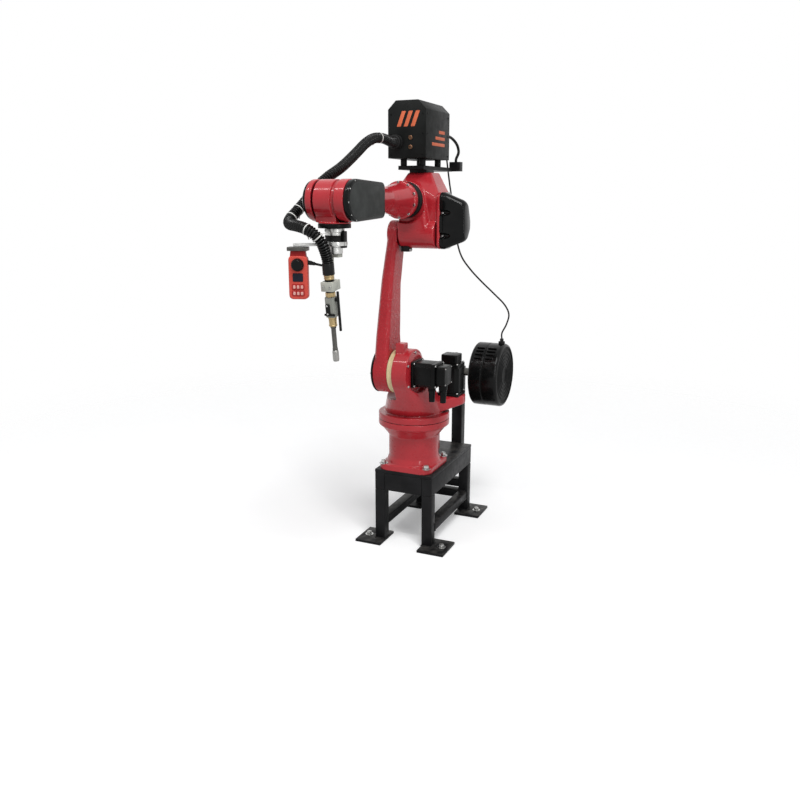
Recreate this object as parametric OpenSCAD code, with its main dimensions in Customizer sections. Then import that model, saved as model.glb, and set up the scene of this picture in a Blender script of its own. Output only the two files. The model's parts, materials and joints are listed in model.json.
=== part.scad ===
// Six-axis welding robot on a low steel stand, with a wire feeder on its elbow, a wire drum
// on a post behind it and a torch with a teach handle at its wrist.
// Millimetres, +Z up. The origin is on the floor, midway between the four floor anchors.
// The arm points along +X. The shoulder and elbow motors are on the +Y side.

/* [Stand] */
// Height of the stand's top face above the floor
stand_h = 360; // [320:1:420]
// Distance between the front and rear leg centres
leg_pitch_x = 504; // [470:1:540]
// Distance between the left and right leg centres
leg_pitch_y = 238; // [220:1:280]
// Side of the square leg tube
tube = 50; // [40:1:56]
// Thickness of the top plate
top_plate_t = 15; // [10:1:20]
// Depth of the upper beams
beam_h = 85; // [70:1:110]
// Height of the lower rails and bars
rail_h = 40; // [30:1:50]
// Height of the lower side rails above the floor
rail_z = 75; // [60:1:100]
// Height of the higher rear bar above the lower rails
rear_bar_rise = 60; // [50:1:90]
// Length of a foot plate
foot_l = 160; // [130:1:180]
// Reach of a foot plate beyond the leg
foot_reach = 80; // [70:1:100]
// Thickness of a foot plate
foot_t = 12; // [8:1:16]
// Diameter of a floor anchor hole
anchor_d = 18; // [14:1:22]
// Distance of the anchor hole from the plate's outer edge
anchor_inset = 36; // [26:1:44]

/* [Arm geometry] */
// First axis in front of the middle of the stand
base_x = 146; // [130:1:150]
// Second axis in front of the first axis
shoulder_x = 147; // [130:1:160]
// Second axis above the stand
shoulder_h = 485; // [470:1:510]
// Third axis behind the second axis
arm_back = 88; // [60:1:110]
// Third axis above the second axis
arm_rise = 601; // [560:1:640]
// Fourth axis above the third axis
elbow_rise = 144; // [138:1:150]
// Fifth axis in front of the third axis
forearm_reach = 686; // [670:1:710]
// Running gap between the castings at an axis
joint_gap = 0.4; // [0.3:0.1:0.6]

/* [Base and turret] */
// Side of the base flange
base_flange = 260; // [250:1:262]
// Thickness of the base flange
base_flange_t = 28; // [22:1:36]
// Height of the base casting
base_h = 240; // [225:1:250]
// Radius of the base column
base_r = 118; // [105:1:124]
// Radius of the rings at the first axis
ring_r = 166; // [155:1:172]
// Height of the turret's lower ring
turret_ring_h = 30; // [24:1:36]
// Radius of the shoulder housing
shoulder_r = 106; // [100:1:110]
// Radius of the seal ring at the shoulder
seal_r = 96; // [90:1:100]
// Side of a shoulder motor body
motor_w = 108; // [100:1:112]
// Length of the shoulder motor body
motor_l = 98; // [90:1:106]
// Length of the swivel motor's body
swivel_l = 138; // [126:1:144]
// Length of a motor's encoder cap
encoder_l = 43; // [36:1:48]

/* [Arm castings] */
// Radius of the lower arm's hub
hub_r = 98; // [94:1:102]
// Radius of the lower arm's head
head_r = 58; // [54:1:61]
// Thickness of the lower arm at its hub
hub_t = 67; // [60:1:72]
// Thickness of the lower arm at its head
head_t = 47; // [40:1:54]
// Forward bow of the lower arm
arm_bow = 28; // [20:1:32]
// Radius of the elbow housing at the third axis
elbow_r = 62; // [59:1:66]
// Radius of the elbow housing at the fourth axis
roll_r = 80; // [76:1:84]
// Reach of the elbow motor cover
cover_l = 103; // [95:1:110]
// Radius of the forearm tube
forearm_r = 50; // [46:1:54]
// Length of the cone behind the forearm tube
forearm_cone = 150; // [120:1:170]
// Radius of the forearm flange
flange_r = 79; // [74:1:84]
// Radius of the yoke's round ends
yoke_r = 75; // [72:1:77]

/* [Wrist and tool] */
// Radius of the tool plate
tool_r = 60; // [54:1:62]
// Thickness of the tool plate
tool_t = 15; // [12:1:18]
// Radius of the collision sensor
sensor_r = 36; // [33:1:39]
// Height of the collision sensor
sensor_h = 92; // [88:1:100]
// Length of the torch below the hose
torch_l = 328; // [318:1:345]
// Radius of the gas nozzle
nozzle_r = 12; // [11:0.5:14]
// Width of the teach handle
handle_w = 70; // [64:1:76]
// Height of the teach handle
handle_h = 156; // [146:1:162]
// Turn of the teach handle about the upright
handle_turn = 18; // [0:1:30]
// Distance of the torch in front of the fifth axis
torch_ahead = 50; // [46:1:54]
// Distance of the torch's top below the fifth axis
torch_drop = 260; // [254:1:264]

/* [Feeder and drum] */
// Length of the feeder box
feeder_l = 280; // [260:1:300]
// Width of the feeder box
feeder_w = 175; // [165:1:185]
// Height of the feeder box
feeder_h = 234; // [220:1:245]
// Width of the bevels along the feeder's top edges
feeder_bevel = 36; // [30:1:44]
// Diameter of the wire drum
drum_d = 316; // [304:1:318]
// Width of the wire drum
drum_w = 146; // [136:1:152]
// Height of the drum's axis above the stand
drum_rise = 375; // [365:1:390]

/* [Hidden] */
$fn = 64;

paint_red = "firebrick";
soft_black = [0.11, 0.12, 0.12];
steel = "silver";
hull_fn = 32;

// Stand
leg_top = stand_h - top_plate_t - beam_h;
stand_l = leg_pitch_x + tube;
stand_w = leg_pitch_y + tube;
foot_out = stand_w/2 + foot_reach;
anchor_y = foot_out - anchor_inset;

// Axes, measured from the first axis on the floor
j2 = [shoulder_x, 0, stand_h + shoulder_h];
j3 = j2 + [-arm_back, 0, arm_rise];
j4_z = j3[2] + elbow_rise;
j5 = [j3[0] + forearm_reach, 0, j4_z];
arm_len = norm([arm_back, arm_rise]);
arm_lean = atan(arm_back/arm_rise);

// Base and turret
base_top = stand_h + base_h;
turret_top = base_top + joint_gap + turret_ring_h;
platform_z = base_top + 100;
swivel_at = [-105, 145];
swivel_w = 100;

// Layers of the shoulder and elbow across Y
shoulder_inner = -5;
shoulder_outer = 66;
boss_end = 70;
arm_clear = 16;
swing_clear = 32;
swivel_room = swivel_w/2 + 10;
arm_inner = -31;
arm_outer = arm_inner - hub_t;
head_inner = -37;
head_outer = head_inner - head_t;
elbow_inner = -30;
cover_seat = 155;

// Elbow, forearm and wrist along X and Y
elbow_front = j3[0] + 36;
elbow_behind = 130;
elbow_rear = j3[0] - elbow_behind;
roll_front = elbow_front + 55;
flange_front = roll_front + joint_gap + 22;
fork_depth = 133;
crotch_x = j5[0] - fork_depth;
yoke_right = -80;
yoke_slot_right = -56;
yoke_slot_left = 34;
yoke_left = 74;
yoke_back_h = 66;
cover_t = 24;
cover_reach = 206;
cap_t = 15;

// Motor cover's seat and outer end on the elbow, and the scoops for its screws
seat_rise = 32;
seat_l = 104;
seat_front = elbow_front + 4;
seat_rear = seat_front - seat_l;
seat_corner = 26;
end_corner = 22;
end_front = elbow_front - 10;
end_rear = seat_rear + 4;
end_top = j4_z - 8;
end_low = j3[2] - elbow_r + 24;
end_rear_z = j3[2] + elbow_r + 4;
scoop_h = 16;
scoop_l = 43;
scoop_deep = 10;
scoop_rise = 95;

// Elbow's top pad and its rear corner block
top_pad = [-24, 84];
top_pad_front = j3[0] - 39;
corner_in = 100;
corner_l = 40;
corner_drop = 30;

// Levels below the fifth axis
pad_top = -76;
pad_low = -81.5;
plate_top = pad_low - joint_gap;
plate_low = plate_top - tool_t;
sensor_low = plate_low - sensor_h;

// Torch axis: it leans forward and meets the sixth axis at the nozzle's tip
torch_slope = [4, 30];
torch_lean = atan(torch_slope[0]/torch_slope[1]);
torch_top = [j5[0] + torch_ahead, 0, j4_z - torch_drop];
handle_ahead = 92;
handle_side = -100;
handle_drop = 192;
handle_at = [j5[0] + handle_ahead, handle_side, j4_z - handle_drop];

// Feeder levels above the elbow's top pad
pad_rise = 115;
pad_z = j4_z + pad_rise;
spacer_t = 12;
carrier_t = 17;
foot_rubber_h = 29;
carrier_z = pad_z + spacer_t;
feeder_z = carrier_z + carrier_t + foot_rubber_h;
feeder_front = j3[0] + 34;
feeder_rear = feeder_front - feeder_l;
carrier_rear = feeder_rear - 113;
rear_block = [39, 52];
rear_block_y = 46;
gland_at = [feeder_front, -50, feeder_z + 65];
inlet_at = [feeder_rear, 20, feeder_z + 97];
loop_at = [feeder_rear, 55, feeder_z + 110];

// Drum and post behind the stand
post_w = 54;
post_x = -base_x - stand_l/2 - post_w/2;
post_y = 60;
drum_z = stand_h + drum_rise;
drum_inner = 159;
drum_outer = drum_inner + drum_w;
outlet_y = 282;
outlet_h = 26;

// Cord sizes
hose_d = 42;
liner_d = 8;
loop_d = 13;
cord_sides = 10;
// Pull-back of a cord's end from what it meets
cord_gap = 0.15;

// Hose route from the feeder to the torch, first axis at x = 0
hose_route = [
    [118, -50, 1828], [150, -50, 1828], [200, -62, 1838], [260, -73, 1835], [330, -76, 1812],
    [400, -76, 1778], [470, -76, 1744], [540, -80, 1710], [600, -100, 1677],
    [648, -120, 1642], [690, -134, 1603], [735, -150, 1562], [784, -162, 1524], [818, -144, 1508],
    [840, -104, 1503], [852, -60, 1494], [850, -24, 1474], [836, -4, 1444],
    [818, 0, 1412], [804, 0, 1384], [798.5, 0, 1356], [795, 0, 1330]];
hose_cut_1 = 8;
hose_cut_2 = 13;
// Wire liner route from the drum to the feeder, first axis at x = 0
liner_route = [
    [-450, 282, 920], [-450, 282, 948], [-455, 302, 992], [-450, 314, 1042], [-425, 298, 1092],
    [-380, 255, 1150], [-330, 208, 1210],
    [-280, 168, 1270], [-240, 138, 1330], [-228, 118, 1400], [-245, 100, 1480],
    [-282, 72, 1570], [-322, 40, 1670], [-342, 20, 1755], [-326, 16, 1824],
    [-280, 20, 1856], [-236, 20, 1860], [-211, 20, 1860]];
liner_cut_1 = 6;
liner_cut_2 = 10;
// Loop of cable behind the feeder, first axis at x = 0
loop_route = [
    [-205, 55, 1873], [-230, 55, 1873], [-276, 66, 1864], [-312, 78, 1838], [-326, 82, 1806],
    [-321, 75, 1782], [-319, 72, 1773], [-319, 72, 1761]];

// Shapes that repeat

module at_robot() translate([base_x, 0, 0]) children();

module rod_x(r, x0, x1) translate([x0, 0, 0]) rotate([0, 90, 0]) cylinder(r = r, h = x1 - x0);

module rod_y(r, y0, y1) translate([0, y1, 0]) rotate([90, 0, 0]) cylinder(r = r, h = y1 - y0);

module rod_z(r, z0, z1) translate([0, 0, z0]) cylinder(r = r, h = z1 - z0);

module block(low, high) translate(low) cube(high - low);

// A disc along Y with bevelled rims, for use inside hull()
module soft_disc_y(r, y0, y1, bevel) {
    rod_y(r, y0 + bevel, y1 - bevel, $fn = hull_fn);
    rod_y(r - bevel, y0, y1, $fn = hull_fn);
}

module rounded_square(side, r) {
    square([side, side - 2*r], center = true);
    square([side - 2*r, side], center = true);
    for (sx = [-1, 1], sy = [-1, 1])
        translate([sx*(side/2 - r), sy*(side/2 - r)]) circle(r);
}

// A square motor body along +Z with rounded corners
module motor_section(side, length) linear_extrude(length) rounded_square(side, 12);

function unit(v) = v/norm(v);
function tangent(route, i) = unit(route[min(i + 1, len(route) - 1)] - route[max(i - 1, 0)]);
function ring(route, i, r, across, pull) =
    let (t = tangent(route, i), u = unit(cross(t, across)), v = cross(t, u))
    [for (k = [0:cord_sides - 1])
        route[i] + pull*t + r*cos(k*360/cord_sides)*u + r*sin(k*360/cord_sides)*v];

// A tube along the stretch of a route between two of its points
module tube_along(route, first, last, d, across) {
    n = cord_sides;
    rings = last - first;
    pulls = [for (i = [first:last]) i == first ? cord_gap : i == last ? -cord_gap : 0];
    corners = [for (i = [first:last]) each ring(route, i, d/2, across, pulls[i - first])];
    sides = [for (i = [0:rings - 1], k = [0:n - 1]) each [
        [i*n + k, (i + 1)*n + k, (i + 1)*n + (k + 1)%n],
        [i*n + k, (i + 1)*n + (k + 1)%n, i*n + (k + 1)%n]]];
    start_cap = [for (k = [0:n - 1]) k];
    end_cap = [for (k = [n - 1:-1:0]) rings*n + k];
    at_robot() polyhedron(points = corners, faces = concat(sides, [start_cap, end_cap]));
}

// Stand

module at_legs()
    for (sx = [-1, 1], sy = [-1, 1])
        translate([sx*leg_pitch_x/2, 0, 0]) mirror([0, sy < 0 ? 1 : 0, 0]) children();

module foot_plates() color(soft_black)
    at_legs() difference() {
        block([-foot_l/2, leg_pitch_y/2 - tube/2, 0], [foot_l/2, foot_out, foot_t]);
        translate([0, anchor_y, -1]) cylinder(d = anchor_d, h = foot_t + 2);
    }

module stand_legs() color(soft_black)
    at_legs() translate([0, leg_pitch_y/2, 0]) block([-tube/2, -tube/2, foot_t], [tube/2, tube/2, leg_top]);

module stand_side_rails() color(soft_black)
    for (sy = [-1, 1]) translate([0, sy*leg_pitch_y/2, 0]) {
        block([-stand_l/2, -tube/2, leg_top], [stand_l/2, tube/2, leg_top + beam_h]);
        block([-leg_pitch_x/2 + tube/2, -tube/2, rail_z], [leg_pitch_x/2 - tube/2, tube/2, rail_z + rail_h]);
    }

module stand_cross_bars() color(soft_black) {
    inner = leg_pitch_y/2 - tube/2;
    for (sx = [-1, 1]) translate([sx*leg_pitch_x/2, 0, 0])
        block([-tube/2, -inner, leg_top], [tube/2, inner, leg_top + beam_h]);
    for (rise = [0, rear_bar_rise]) translate([-leg_pitch_x/2, 0, rail_z + rise])
        block([-tube/2, -inner, 0], [tube/2, inner, rail_h]);
}

module stand_top_plate() color(soft_black)
    block([-stand_l/2, -stand_w/2, stand_h - top_plate_t], [stand_l/2, stand_w/2, stand_h]);

// Base

module robot_base() color(paint_red) at_robot() translate([0, 0, stand_h]) {
    linear_extrude(base_flange_t) rounded_square(base_flange, 40);
    rotate_extrude() polygon([
        [0, 0], [base_r + 8, 0], [base_r + 8, base_flange_t + 10], [base_r, base_flange_t + 30],
        [base_r, base_h - 80], [ring_r - 12, base_h - 34], [ring_r, base_h - 28], [ring_r, base_h], [0, base_h]]);
    block([-base_flange/2 - 40, -66, 40], [-base_r/2, 66, 160]);
}

module base_connectors() color(soft_black) at_robot()
    translate([-base_flange/2 - 40, 0, stand_h + 100]) {
        block([-5, -60, -54], [0, 60, 54]);
        for (y = [-30, 30], z = [-24, 24]) translate([0, y, z]) rod_x(18, -38, -5);
    }

// Wire drum and its post

module reel_post() color(soft_black) at_robot() translate([post_x, post_y, 0]) {
    block([-post_w/2, -post_w/2, leg_top], [post_w/2, post_w/2, drum_z + 26]);
    block([post_w/2 - 10, -post_w/2 - 26, leg_top], [post_w/2, post_w/2 + 26, leg_top + beam_h]);
}

module reel_spindle() color(steel) at_robot() translate([post_x, 0, drum_z]) {
    rod_y(20, post_y + post_w/2, drum_inner - 10);
    rod_y(46, drum_inner - 10, drum_inner);
}

module wire_drum() color(soft_black) at_robot() translate([post_x, drum_inner, drum_z]) rotate([-90, 0, 0])
    rotate_extrude() polygon([
        [0, 0], [drum_d/2 - 6, 0], [drum_d/2, 6], [drum_d/2, drum_w*0.42], [drum_d/2 - 5, drum_w*0.45],
        [drum_d/2 - 5, drum_w*0.55], [drum_d/2, drum_w*0.58], [drum_d/2, drum_w - 7], [drum_d/2 - 7, drum_w],
        [drum_d/2 - 32, drum_w], [drum_d/2 - 36, drum_w - 4], [drum_d/2 - 56, drum_w - 4],
        [drum_d/2 - 60, drum_w], [52, drum_w], [47, drum_w - 6], [0, drum_w - 6]]);

module drum_outlet() color(soft_black) at_robot() translate([post_x, outlet_y, drum_z + drum_d/2]) difference() {
    union() {
        rod_z(16, -10, 12);
        rod_z(9, 12, outlet_h);
    }
    translate([0, drum_w, -drum_d/2]) rod_y(drum_d/2, -2*drum_w, drum_w);
}

// Turret and shoulder

module turret() color(paint_red) at_robot() {
    rod_z(ring_r, base_top + joint_gap, turret_top);
    difference() {
        hull() {
            rod_z(ring_r - 30, turret_top - 2, turret_top + 18, $fn = hull_fn);
            translate(j2) soft_disc_y(shoulder_r - 1, shoulder_inner + 1, shoulder_outer - 1, 6);
        }
        translate(j2) {
            rod_y(max(hub_r, seal_r) + swing_clear, -2*ring_r, shoulder_inner);
            rod_y((motor_w + 8)*0.75, boss_end, 2*ring_r);
        }
        translate(swivel_at) block([-swivel_room, -swivel_room, platform_z], [swivel_room, swivel_room, j2[2]]);
    }
    hull() {
        rod_z(ring_r - 50, turret_top - 2, turret_top + 40, $fn = hull_fn);
        translate(swivel_at) rod_z(swivel_w*0.68, platform_z - 40, platform_z, $fn = hull_fn);
    }
    translate(j2) {
        rod_y(shoulder_r, shoulder_inner, shoulder_outer);
        rod_y(72, shoulder_outer, boss_end);
        block([4, shoulder_inner, shoulder_r - 12], [56, shoulder_inner + 40, shoulder_r + 30]);
    }
}

module shoulder_seal() color("wheat") at_robot() translate(j2)
    rod_y(seal_r, arm_inner + joint_gap, shoulder_inner);

module shoulder_motor() color(soft_black) at_robot() translate(j2 + [0, boss_end, 0]) rotate([-90, 0, 0]) {
    motor_section(motor_w + 8, 12);
    translate([0, 0, 12]) motor_section(motor_w, motor_l);
    translate([0, 0, 12 + motor_l]) motor_section(motor_w - 22, encoder_l);
    for (along = [motor_l - 20, 12 + motor_l + encoder_l/2]) translate([0, 0, along]) rotate([-90, 0, 0]) {
        cylinder(r = 19, h = motor_w/2 + 10);
        cylinder(r = 14, h = motor_w/2 + 70);
    }
}

module swivel_motor() color(soft_black) at_robot() translate([swivel_at[0], swivel_at[1], platform_z]) {
    motor_section(swivel_w + 8, 12);
    translate([0, 0, 12]) motor_section(swivel_w, swivel_l);
    translate([0, 0, 12 + swivel_l]) motor_section(swivel_w - 20, encoder_l);
    for (z = [34, 12 + swivel_l + encoder_l/2]) translate([0, 0, z]) rod_x(14, -swivel_w/2 - 34, 0);
}

// Lower arm

module at_lower_arm() at_robot() translate(j2) rotate([0, -arm_lean, 0]) children();

// The bowed shank: stations along the arm as distance, bow, radius, outer and inner face
function arm_stations() = [
    [0, 0, hub_r - 2, arm_outer + 1, arm_inner - 1],
    [arm_len*0.25, arm_bow*0.8, 72, arm_outer + 2, arm_inner - 1],
    [arm_len*0.64, arm_bow, 57, head_outer - 6, head_inner + 2],
    [arm_len, 0, head_r - 2, head_outer + 1, head_inner - 1]];

module lower_arm() color(paint_red) at_lower_arm() {
    rod_y(hub_r, arm_outer, arm_inner);
    for (i = [0:2]) hull() for (s = [arm_stations()[i], arm_stations()[i + 1]])
        translate([s[1], 0, s[0]]) soft_disc_y(s[2], s[3], s[4], 13);
    translate([0, 0, arm_len]) rod_y(head_r, head_outer, head_inner);
}

module shoulder_cap() color(soft_black) at_lower_arm() {
    rod_y(hub_r + 1, arm_outer - 8, arm_outer);
    rod_y(hub_r - 10, arm_outer - 12, arm_outer - 8);
}

// Elbow

// Posts along Y at the corners of the motor cover's seat, for a hull
module cover_seat_posts(shrink, y0, y1) {
    inset = shrink + seat_corner;
    for (x = [seat_rear + inset, seat_front - inset],
         z = [j3[2] - elbow_r + inset, j4_z + seat_rise - inset])
        translate([x, 0, z]) rod_y(seat_corner, y0, y1, $fn = hull_fn);
}

// Posts along Y at the corners of the motor cover's outer end, for a hull
module cover_end_posts(y0, y1) {
    for (spot = [[end_front - end_corner, end_top - end_corner],
                 [end_front - end_corner, end_low + end_corner],
                 [end_rear + end_corner, end_rear_z]])
        translate([spot[0], 0, spot[1]]) rod_y(end_corner, y0, y1, $fn = hull_fn);
}

module elbow() color(paint_red) at_robot() {
    translate(j3) {
        rod_y(elbow_r, elbow_inner, cover_seat - 20);
        rod_y(head_r - 4, head_inner + joint_gap, elbow_inner);
    }
    difference() {
        hull() {
            translate([0, 0, j4_z]) rod_x(roll_r - 1, elbow_rear, elbow_front - 1, $fn = hull_fn);
            translate(j3) soft_disc_y(elbow_r - 1, elbow_inner + 1, cover_seat - 50, 8);
        }
        translate([0, 0, j4_z]) rod_x(roll_r + arm_clear, elbow_front, roll_front + elbow_r);
        translate(j3) rod_y(head_r + arm_clear, -2*roll_r, head_inner + joint_gap);
    }
    hull() {
        translate([0, 0, j4_z]) rod_x(roll_r - 6, elbow_rear, elbow_front - 30, $fn = hull_fn);
        block([elbow_rear - 4, top_pad[0], pad_z - 4], [top_pad_front, top_pad[1], pad_z]);
        cover_seat_posts(12, cover_seat - 40, cover_seat - 12);
        block([elbow_rear + 6, corner_in, j4_z - corner_drop],
              [elbow_rear + 6 + corner_l, cover_seat - 20, j4_z + seat_rise]);
    }
    hull() cover_seat_posts(0, cover_seat - 14, cover_seat);
    translate([0, 0, j4_z]) rod_x(roll_r, elbow_front - 60, elbow_front);
}

module elbow_cover() color(soft_black) at_robot() difference() {
    hull() {
        cover_seat_posts(0, cover_seat, cover_seat + 18);
        cover_end_posts(cover_seat + cover_l - 10, cover_seat + cover_l);
    }
    for (z = [j3[2], j3[2] + scoop_rise])
        block([seat_front - scoop_deep, cover_seat + 3, z - scoop_h/2],
              [seat_front + scoop_deep, cover_seat + 3 + scoop_l, z + scoop_h/2]);
}

module roll_ring() color(soft_black) at_robot() translate([elbow_front, 0, j4_z]) rotate([0, 90, 0])
    rotate_extrude() polygon([
        [0, 0], [roll_r - 4, 0], [roll_r - 4, 10], [roll_r - 10, 16], [roll_r - 10, 40],
        [flange_r - 3, 46], [flange_r - 3, roll_front - elbow_front], [0, roll_front - elbow_front]]);

module elbow_stop() color(soft_black) at_robot() translate(j3 + [0, -8, 0]) difference() {
    block([-4, -18, -elbow_r - 14], [34, 18, -elbow_r + 14]);
    rod_y(elbow_r, -20, 20);
}

// Feeder on the elbow

module feeder_plate() color(soft_black) at_robot() {
    block([elbow_rear, -20, pad_z], [j3[0] - 43, 60, carrier_z]);
    block([carrier_rear, -60, carrier_z], [feeder_front - 46, 60, carrier_z + carrier_t]);
    block([carrier_rear - rear_block[0], rear_block_y, carrier_z + 2],
          [carrier_rear, rear_block_y + rear_block[1], feeder_z - 2]);
}

module feeder_feet() color(soft_black) at_robot()
    for (x = [feeder_rear + 30, feeder_front - 70], y = [-44, 44])
        translate([x, y, 0]) rod_z(14, carrier_z + carrier_t, feeder_z);

module feeder_box() color(soft_black) at_robot() translate([feeder_rear, 0, feeder_z])
    rotate([90, 0, 90]) linear_extrude(feeder_l) polygon([
        [-feeder_w/2, 0], [feeder_w/2, 0], [feeder_w/2, feeder_h - feeder_bevel],
        [feeder_w/2 - feeder_bevel, feeder_h], [-feeder_w/2 + feeder_bevel, feeder_h],
        [-feeder_w/2, feeder_h - feeder_bevel]]);

module feeder_gland() color(soft_black) at_robot() translate(gland_at) {
    rod_x(32, 0, 8);
    rod_x(27, 8, 25);
}

module feeder_sockets() color("peru") at_robot() {
    translate(gland_at + [0, 68, 18]) rod_x(9, 0, 6);
    translate(gland_at + [0, 68, -20]) rod_x(10, 0, 6);
}

module feeder_inlet() color("peru") at_robot() {
    translate(inlet_at) {
        rod_x(14, -8, 0);
        rod_x(8, -24, -8);
    }
    translate(loop_at) rod_x(12, -18, 0);
}

// Forearm and wrist

module forearm() color(paint_red) at_robot() translate([0, 0, j4_z]) {
    rod_x(flange_r, roll_front + joint_gap, flange_front);
    translate([flange_front, 0, 0]) rotate([0, 90, 0])
        cylinder(r1 = flange_r - 8, r2 = forearm_r, h = forearm_cone);
    rod_x(forearm_r, flange_front + forearm_cone - 1, j5[0] - 200);
    hull() {
        rod_x(forearm_r - 1, j5[0] - 275, j5[0] - 270, $fn = hull_fn);
        for (y = [yoke_right + 21, yoke_left - 21], z = [-1, 1])
            translate([0, y, z*(yoke_back_h - 20)]) rod_x(20, j5[0] - 185, crotch_x, $fn = hull_fn);
    }
    for (side = [[yoke_right, yoke_slot_right], [yoke_slot_left, yoke_left]]) {
        hull() {
            translate([j5[0], 0, 0]) rod_y(yoke_r - 0.5, side[0] + 0.5, side[1] - 0.5, $fn = hull_fn);
            block([crotch_x - 30, side[0] + 0.5, -yoke_back_h + 2], [crotch_x, side[1] - 0.5, yoke_back_h - 2]);
        }
        translate([j5[0], 0, 0]) rod_y(yoke_r, side[0], side[1]);
    }
}

module wrist_cover() color(soft_black) at_robot() translate([j5[0], yoke_left, j4_z]) hull() {
    soft_disc_y(yoke_r - 0.5, 0, cover_t, 7);
    for (z = [-1, 1]) translate([-cover_reach, 0, z*(yoke_back_h - 24)]) soft_disc_y(24, 0, cover_t, 7);
}

module wrist_cap() color(soft_black) at_robot() translate([j5[0], 0, j4_z]) {
    rod_y(yoke_r - 5, yoke_right - cap_t + 5, yoke_right);
    rod_y(yoke_r - 12, yoke_right - cap_t, yoke_right - cap_t + 5);
}

module wrist() color(paint_red) at_robot() translate([j5[0], 0, j4_z]) {
    rod_y(42, yoke_slot_right + joint_gap, yoke_slot_left - joint_gap);
    rod_y(yoke_r - 9, yoke_slot_right + 3, yoke_slot_left - 3);
    rod_y(yoke_r - 1, yoke_slot_right + 9, yoke_slot_left - 13);
    block([-48, yoke_slot_right + 4, pad_top], [48, yoke_slot_left - 4, 0]);
    rod_z(tool_r, pad_low, pad_top);
}

// Tool

module at_tool() at_robot() translate([j5[0], 0, j4_z]) children();

module at_torch() at_robot() translate(torch_top) rotate([0, torch_lean, 0]) children();

module tool_plate() color(soft_black) at_tool() rod_z(tool_r, plate_low, plate_top);

module collision_sensor() color(steel) at_tool() translate([0, 0, sensor_low]) rotate_extrude() polygon([
    [0, 0], [sensor_r - 2, 0], [sensor_r - 2, 28], [sensor_r, 30], [sensor_r, 48], [sensor_r - 3, 50],
    [sensor_r - 3, sensor_h - 10], [sensor_r - 8, sensor_h - 8], [sensor_r - 8, sensor_h], [0, sensor_h]]);

// Levels along the torch, down from the hose
clamp_top = -24;
clamp_low = -58;
nut_top = -64;
block_top = -81;
block_low = -157;
neck_top = -192;
nozzle_top = -torch_l + 42;

module torch_clamp() color(steel) {
    at_tool() {
        block([-20, -28, sensor_low - 12], [14, 20, sensor_low]);
        block([-2, -28, torch_top[2] - j4_z + clamp_low + 10], [12, -6, sensor_low - 12]);
    }
    difference() {
        at_torch() block([-36, -24, clamp_low], [24, 24, clamp_top]);
        at_torch() rod_z(14, clamp_low - 20, clamp_top + 20);
        at_tool() block([-40, -30, -400], [-2, 30, 0]);
    }
}

module torch_body() color("peru") at_torch() {
    rotate_extrude() polygon([
        [0, 0], [19, 0], [19, -16], [15, -18], [13.8, clamp_top + 1], [13.8, clamp_low - 1], [17, clamp_low - 2],
        [17, nut_top + 2], [19, nut_top], [19, block_top + 1], [14, block_top], [14, block_low],
        [16, block_low], [16, neck_top + 2], [14, neck_top], [0, neck_top]]);
    block([-17, -18, block_low], [17, 18, block_top]);
    translate([0, 30, 0]) rod_z(5, block_low - 52, block_top + 20);
    block([-5, 17, block_top - 16], [5, 30, block_top - 4]);
}

module torch_nozzle() color(steel) at_torch() difference() {
    rotate_extrude() polygon([
        [0, neck_top], [9, neck_top], [9, nozzle_top], [nozzle_r - 1, nozzle_top - 3],
        [nozzle_r, nozzle_top - 6], [nozzle_r, -torch_l + 6], [nozzle_r - 1.5, -torch_l], [0, -torch_l]]);
    rod_z(nozzle_r - 3, -torch_l - 1, -torch_l + 22);
}

module handle_bracket() color(steel) at_tool() translate([0, 0, sensor_low + 30]) difference() {
    union() {
        hull() {
            rod_z(18, 0, 10, $fn = hull_fn);
            translate([handle_at[0] - j5[0], handle_at[1], 0]) rod_z(18, 0, 10, $fn = hull_fn);
        }
        rod_z(sensor_r + 10, 0, 14);
    }
    rod_z(sensor_r + 0.1, -1, 20);
}

module at_handle() at_robot() translate(handle_at) rotate([0, 0, handle_turn]) children();

module teach_handle() color("tomato") at_handle() {
    neck_h = j4_z + sensor_low + 30 - handle_at[2];
    corner = 10;
    half = handle_w/2;
    outline = [
        [-half + corner, -handle_h], [half - corner, -handle_h], [half, -handle_h + corner], [half, -corner],
        [half - corner, 0], [half - corner, neck_h],
        [-half + corner, neck_h], [-half + corner, 0], [-half, -corner], [-half, -handle_h + corner]];
    translate([-17, 0, 0]) rotate([90, 0, 90]) linear_extrude(34) polygon(outline);
}

module handle_knob() color(soft_black) at_handle() translate([17, 0, -32]) {
    rod_x(23, 0, 7);
    rod_x(19, 7, 19);
}

// Hose, liner and loop

module hose_upper() color(soft_black) tube_along(hose_route, 0, hose_cut_1, hose_d, [0, 1, 0]);

module hose_middle() color(soft_black) tube_along(hose_route, hose_cut_1, hose_cut_2, hose_d, [0, 0, 1]);

module hose_lower() color(soft_black)
    tube_along(hose_route, hose_cut_2, len(hose_route) - 1, hose_d, [1, 0, 0]);

module liner_lower() color(soft_black) tube_along(liner_route, 0, liner_cut_1, liner_d, [1, 0, 0]);

module liner_middle() color(soft_black) tube_along(liner_route, liner_cut_1, liner_cut_2, liner_d, [0, 1, 0]);

module liner_upper() color(soft_black)
    tube_along(liner_route, liner_cut_2, len(liner_route) - 1, liner_d, [0, 1, 0]);

module feeder_loop() color(soft_black) tube_along(loop_route, 0, len(loop_route) - 1, loop_d, [0, 1, 0]);

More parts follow.
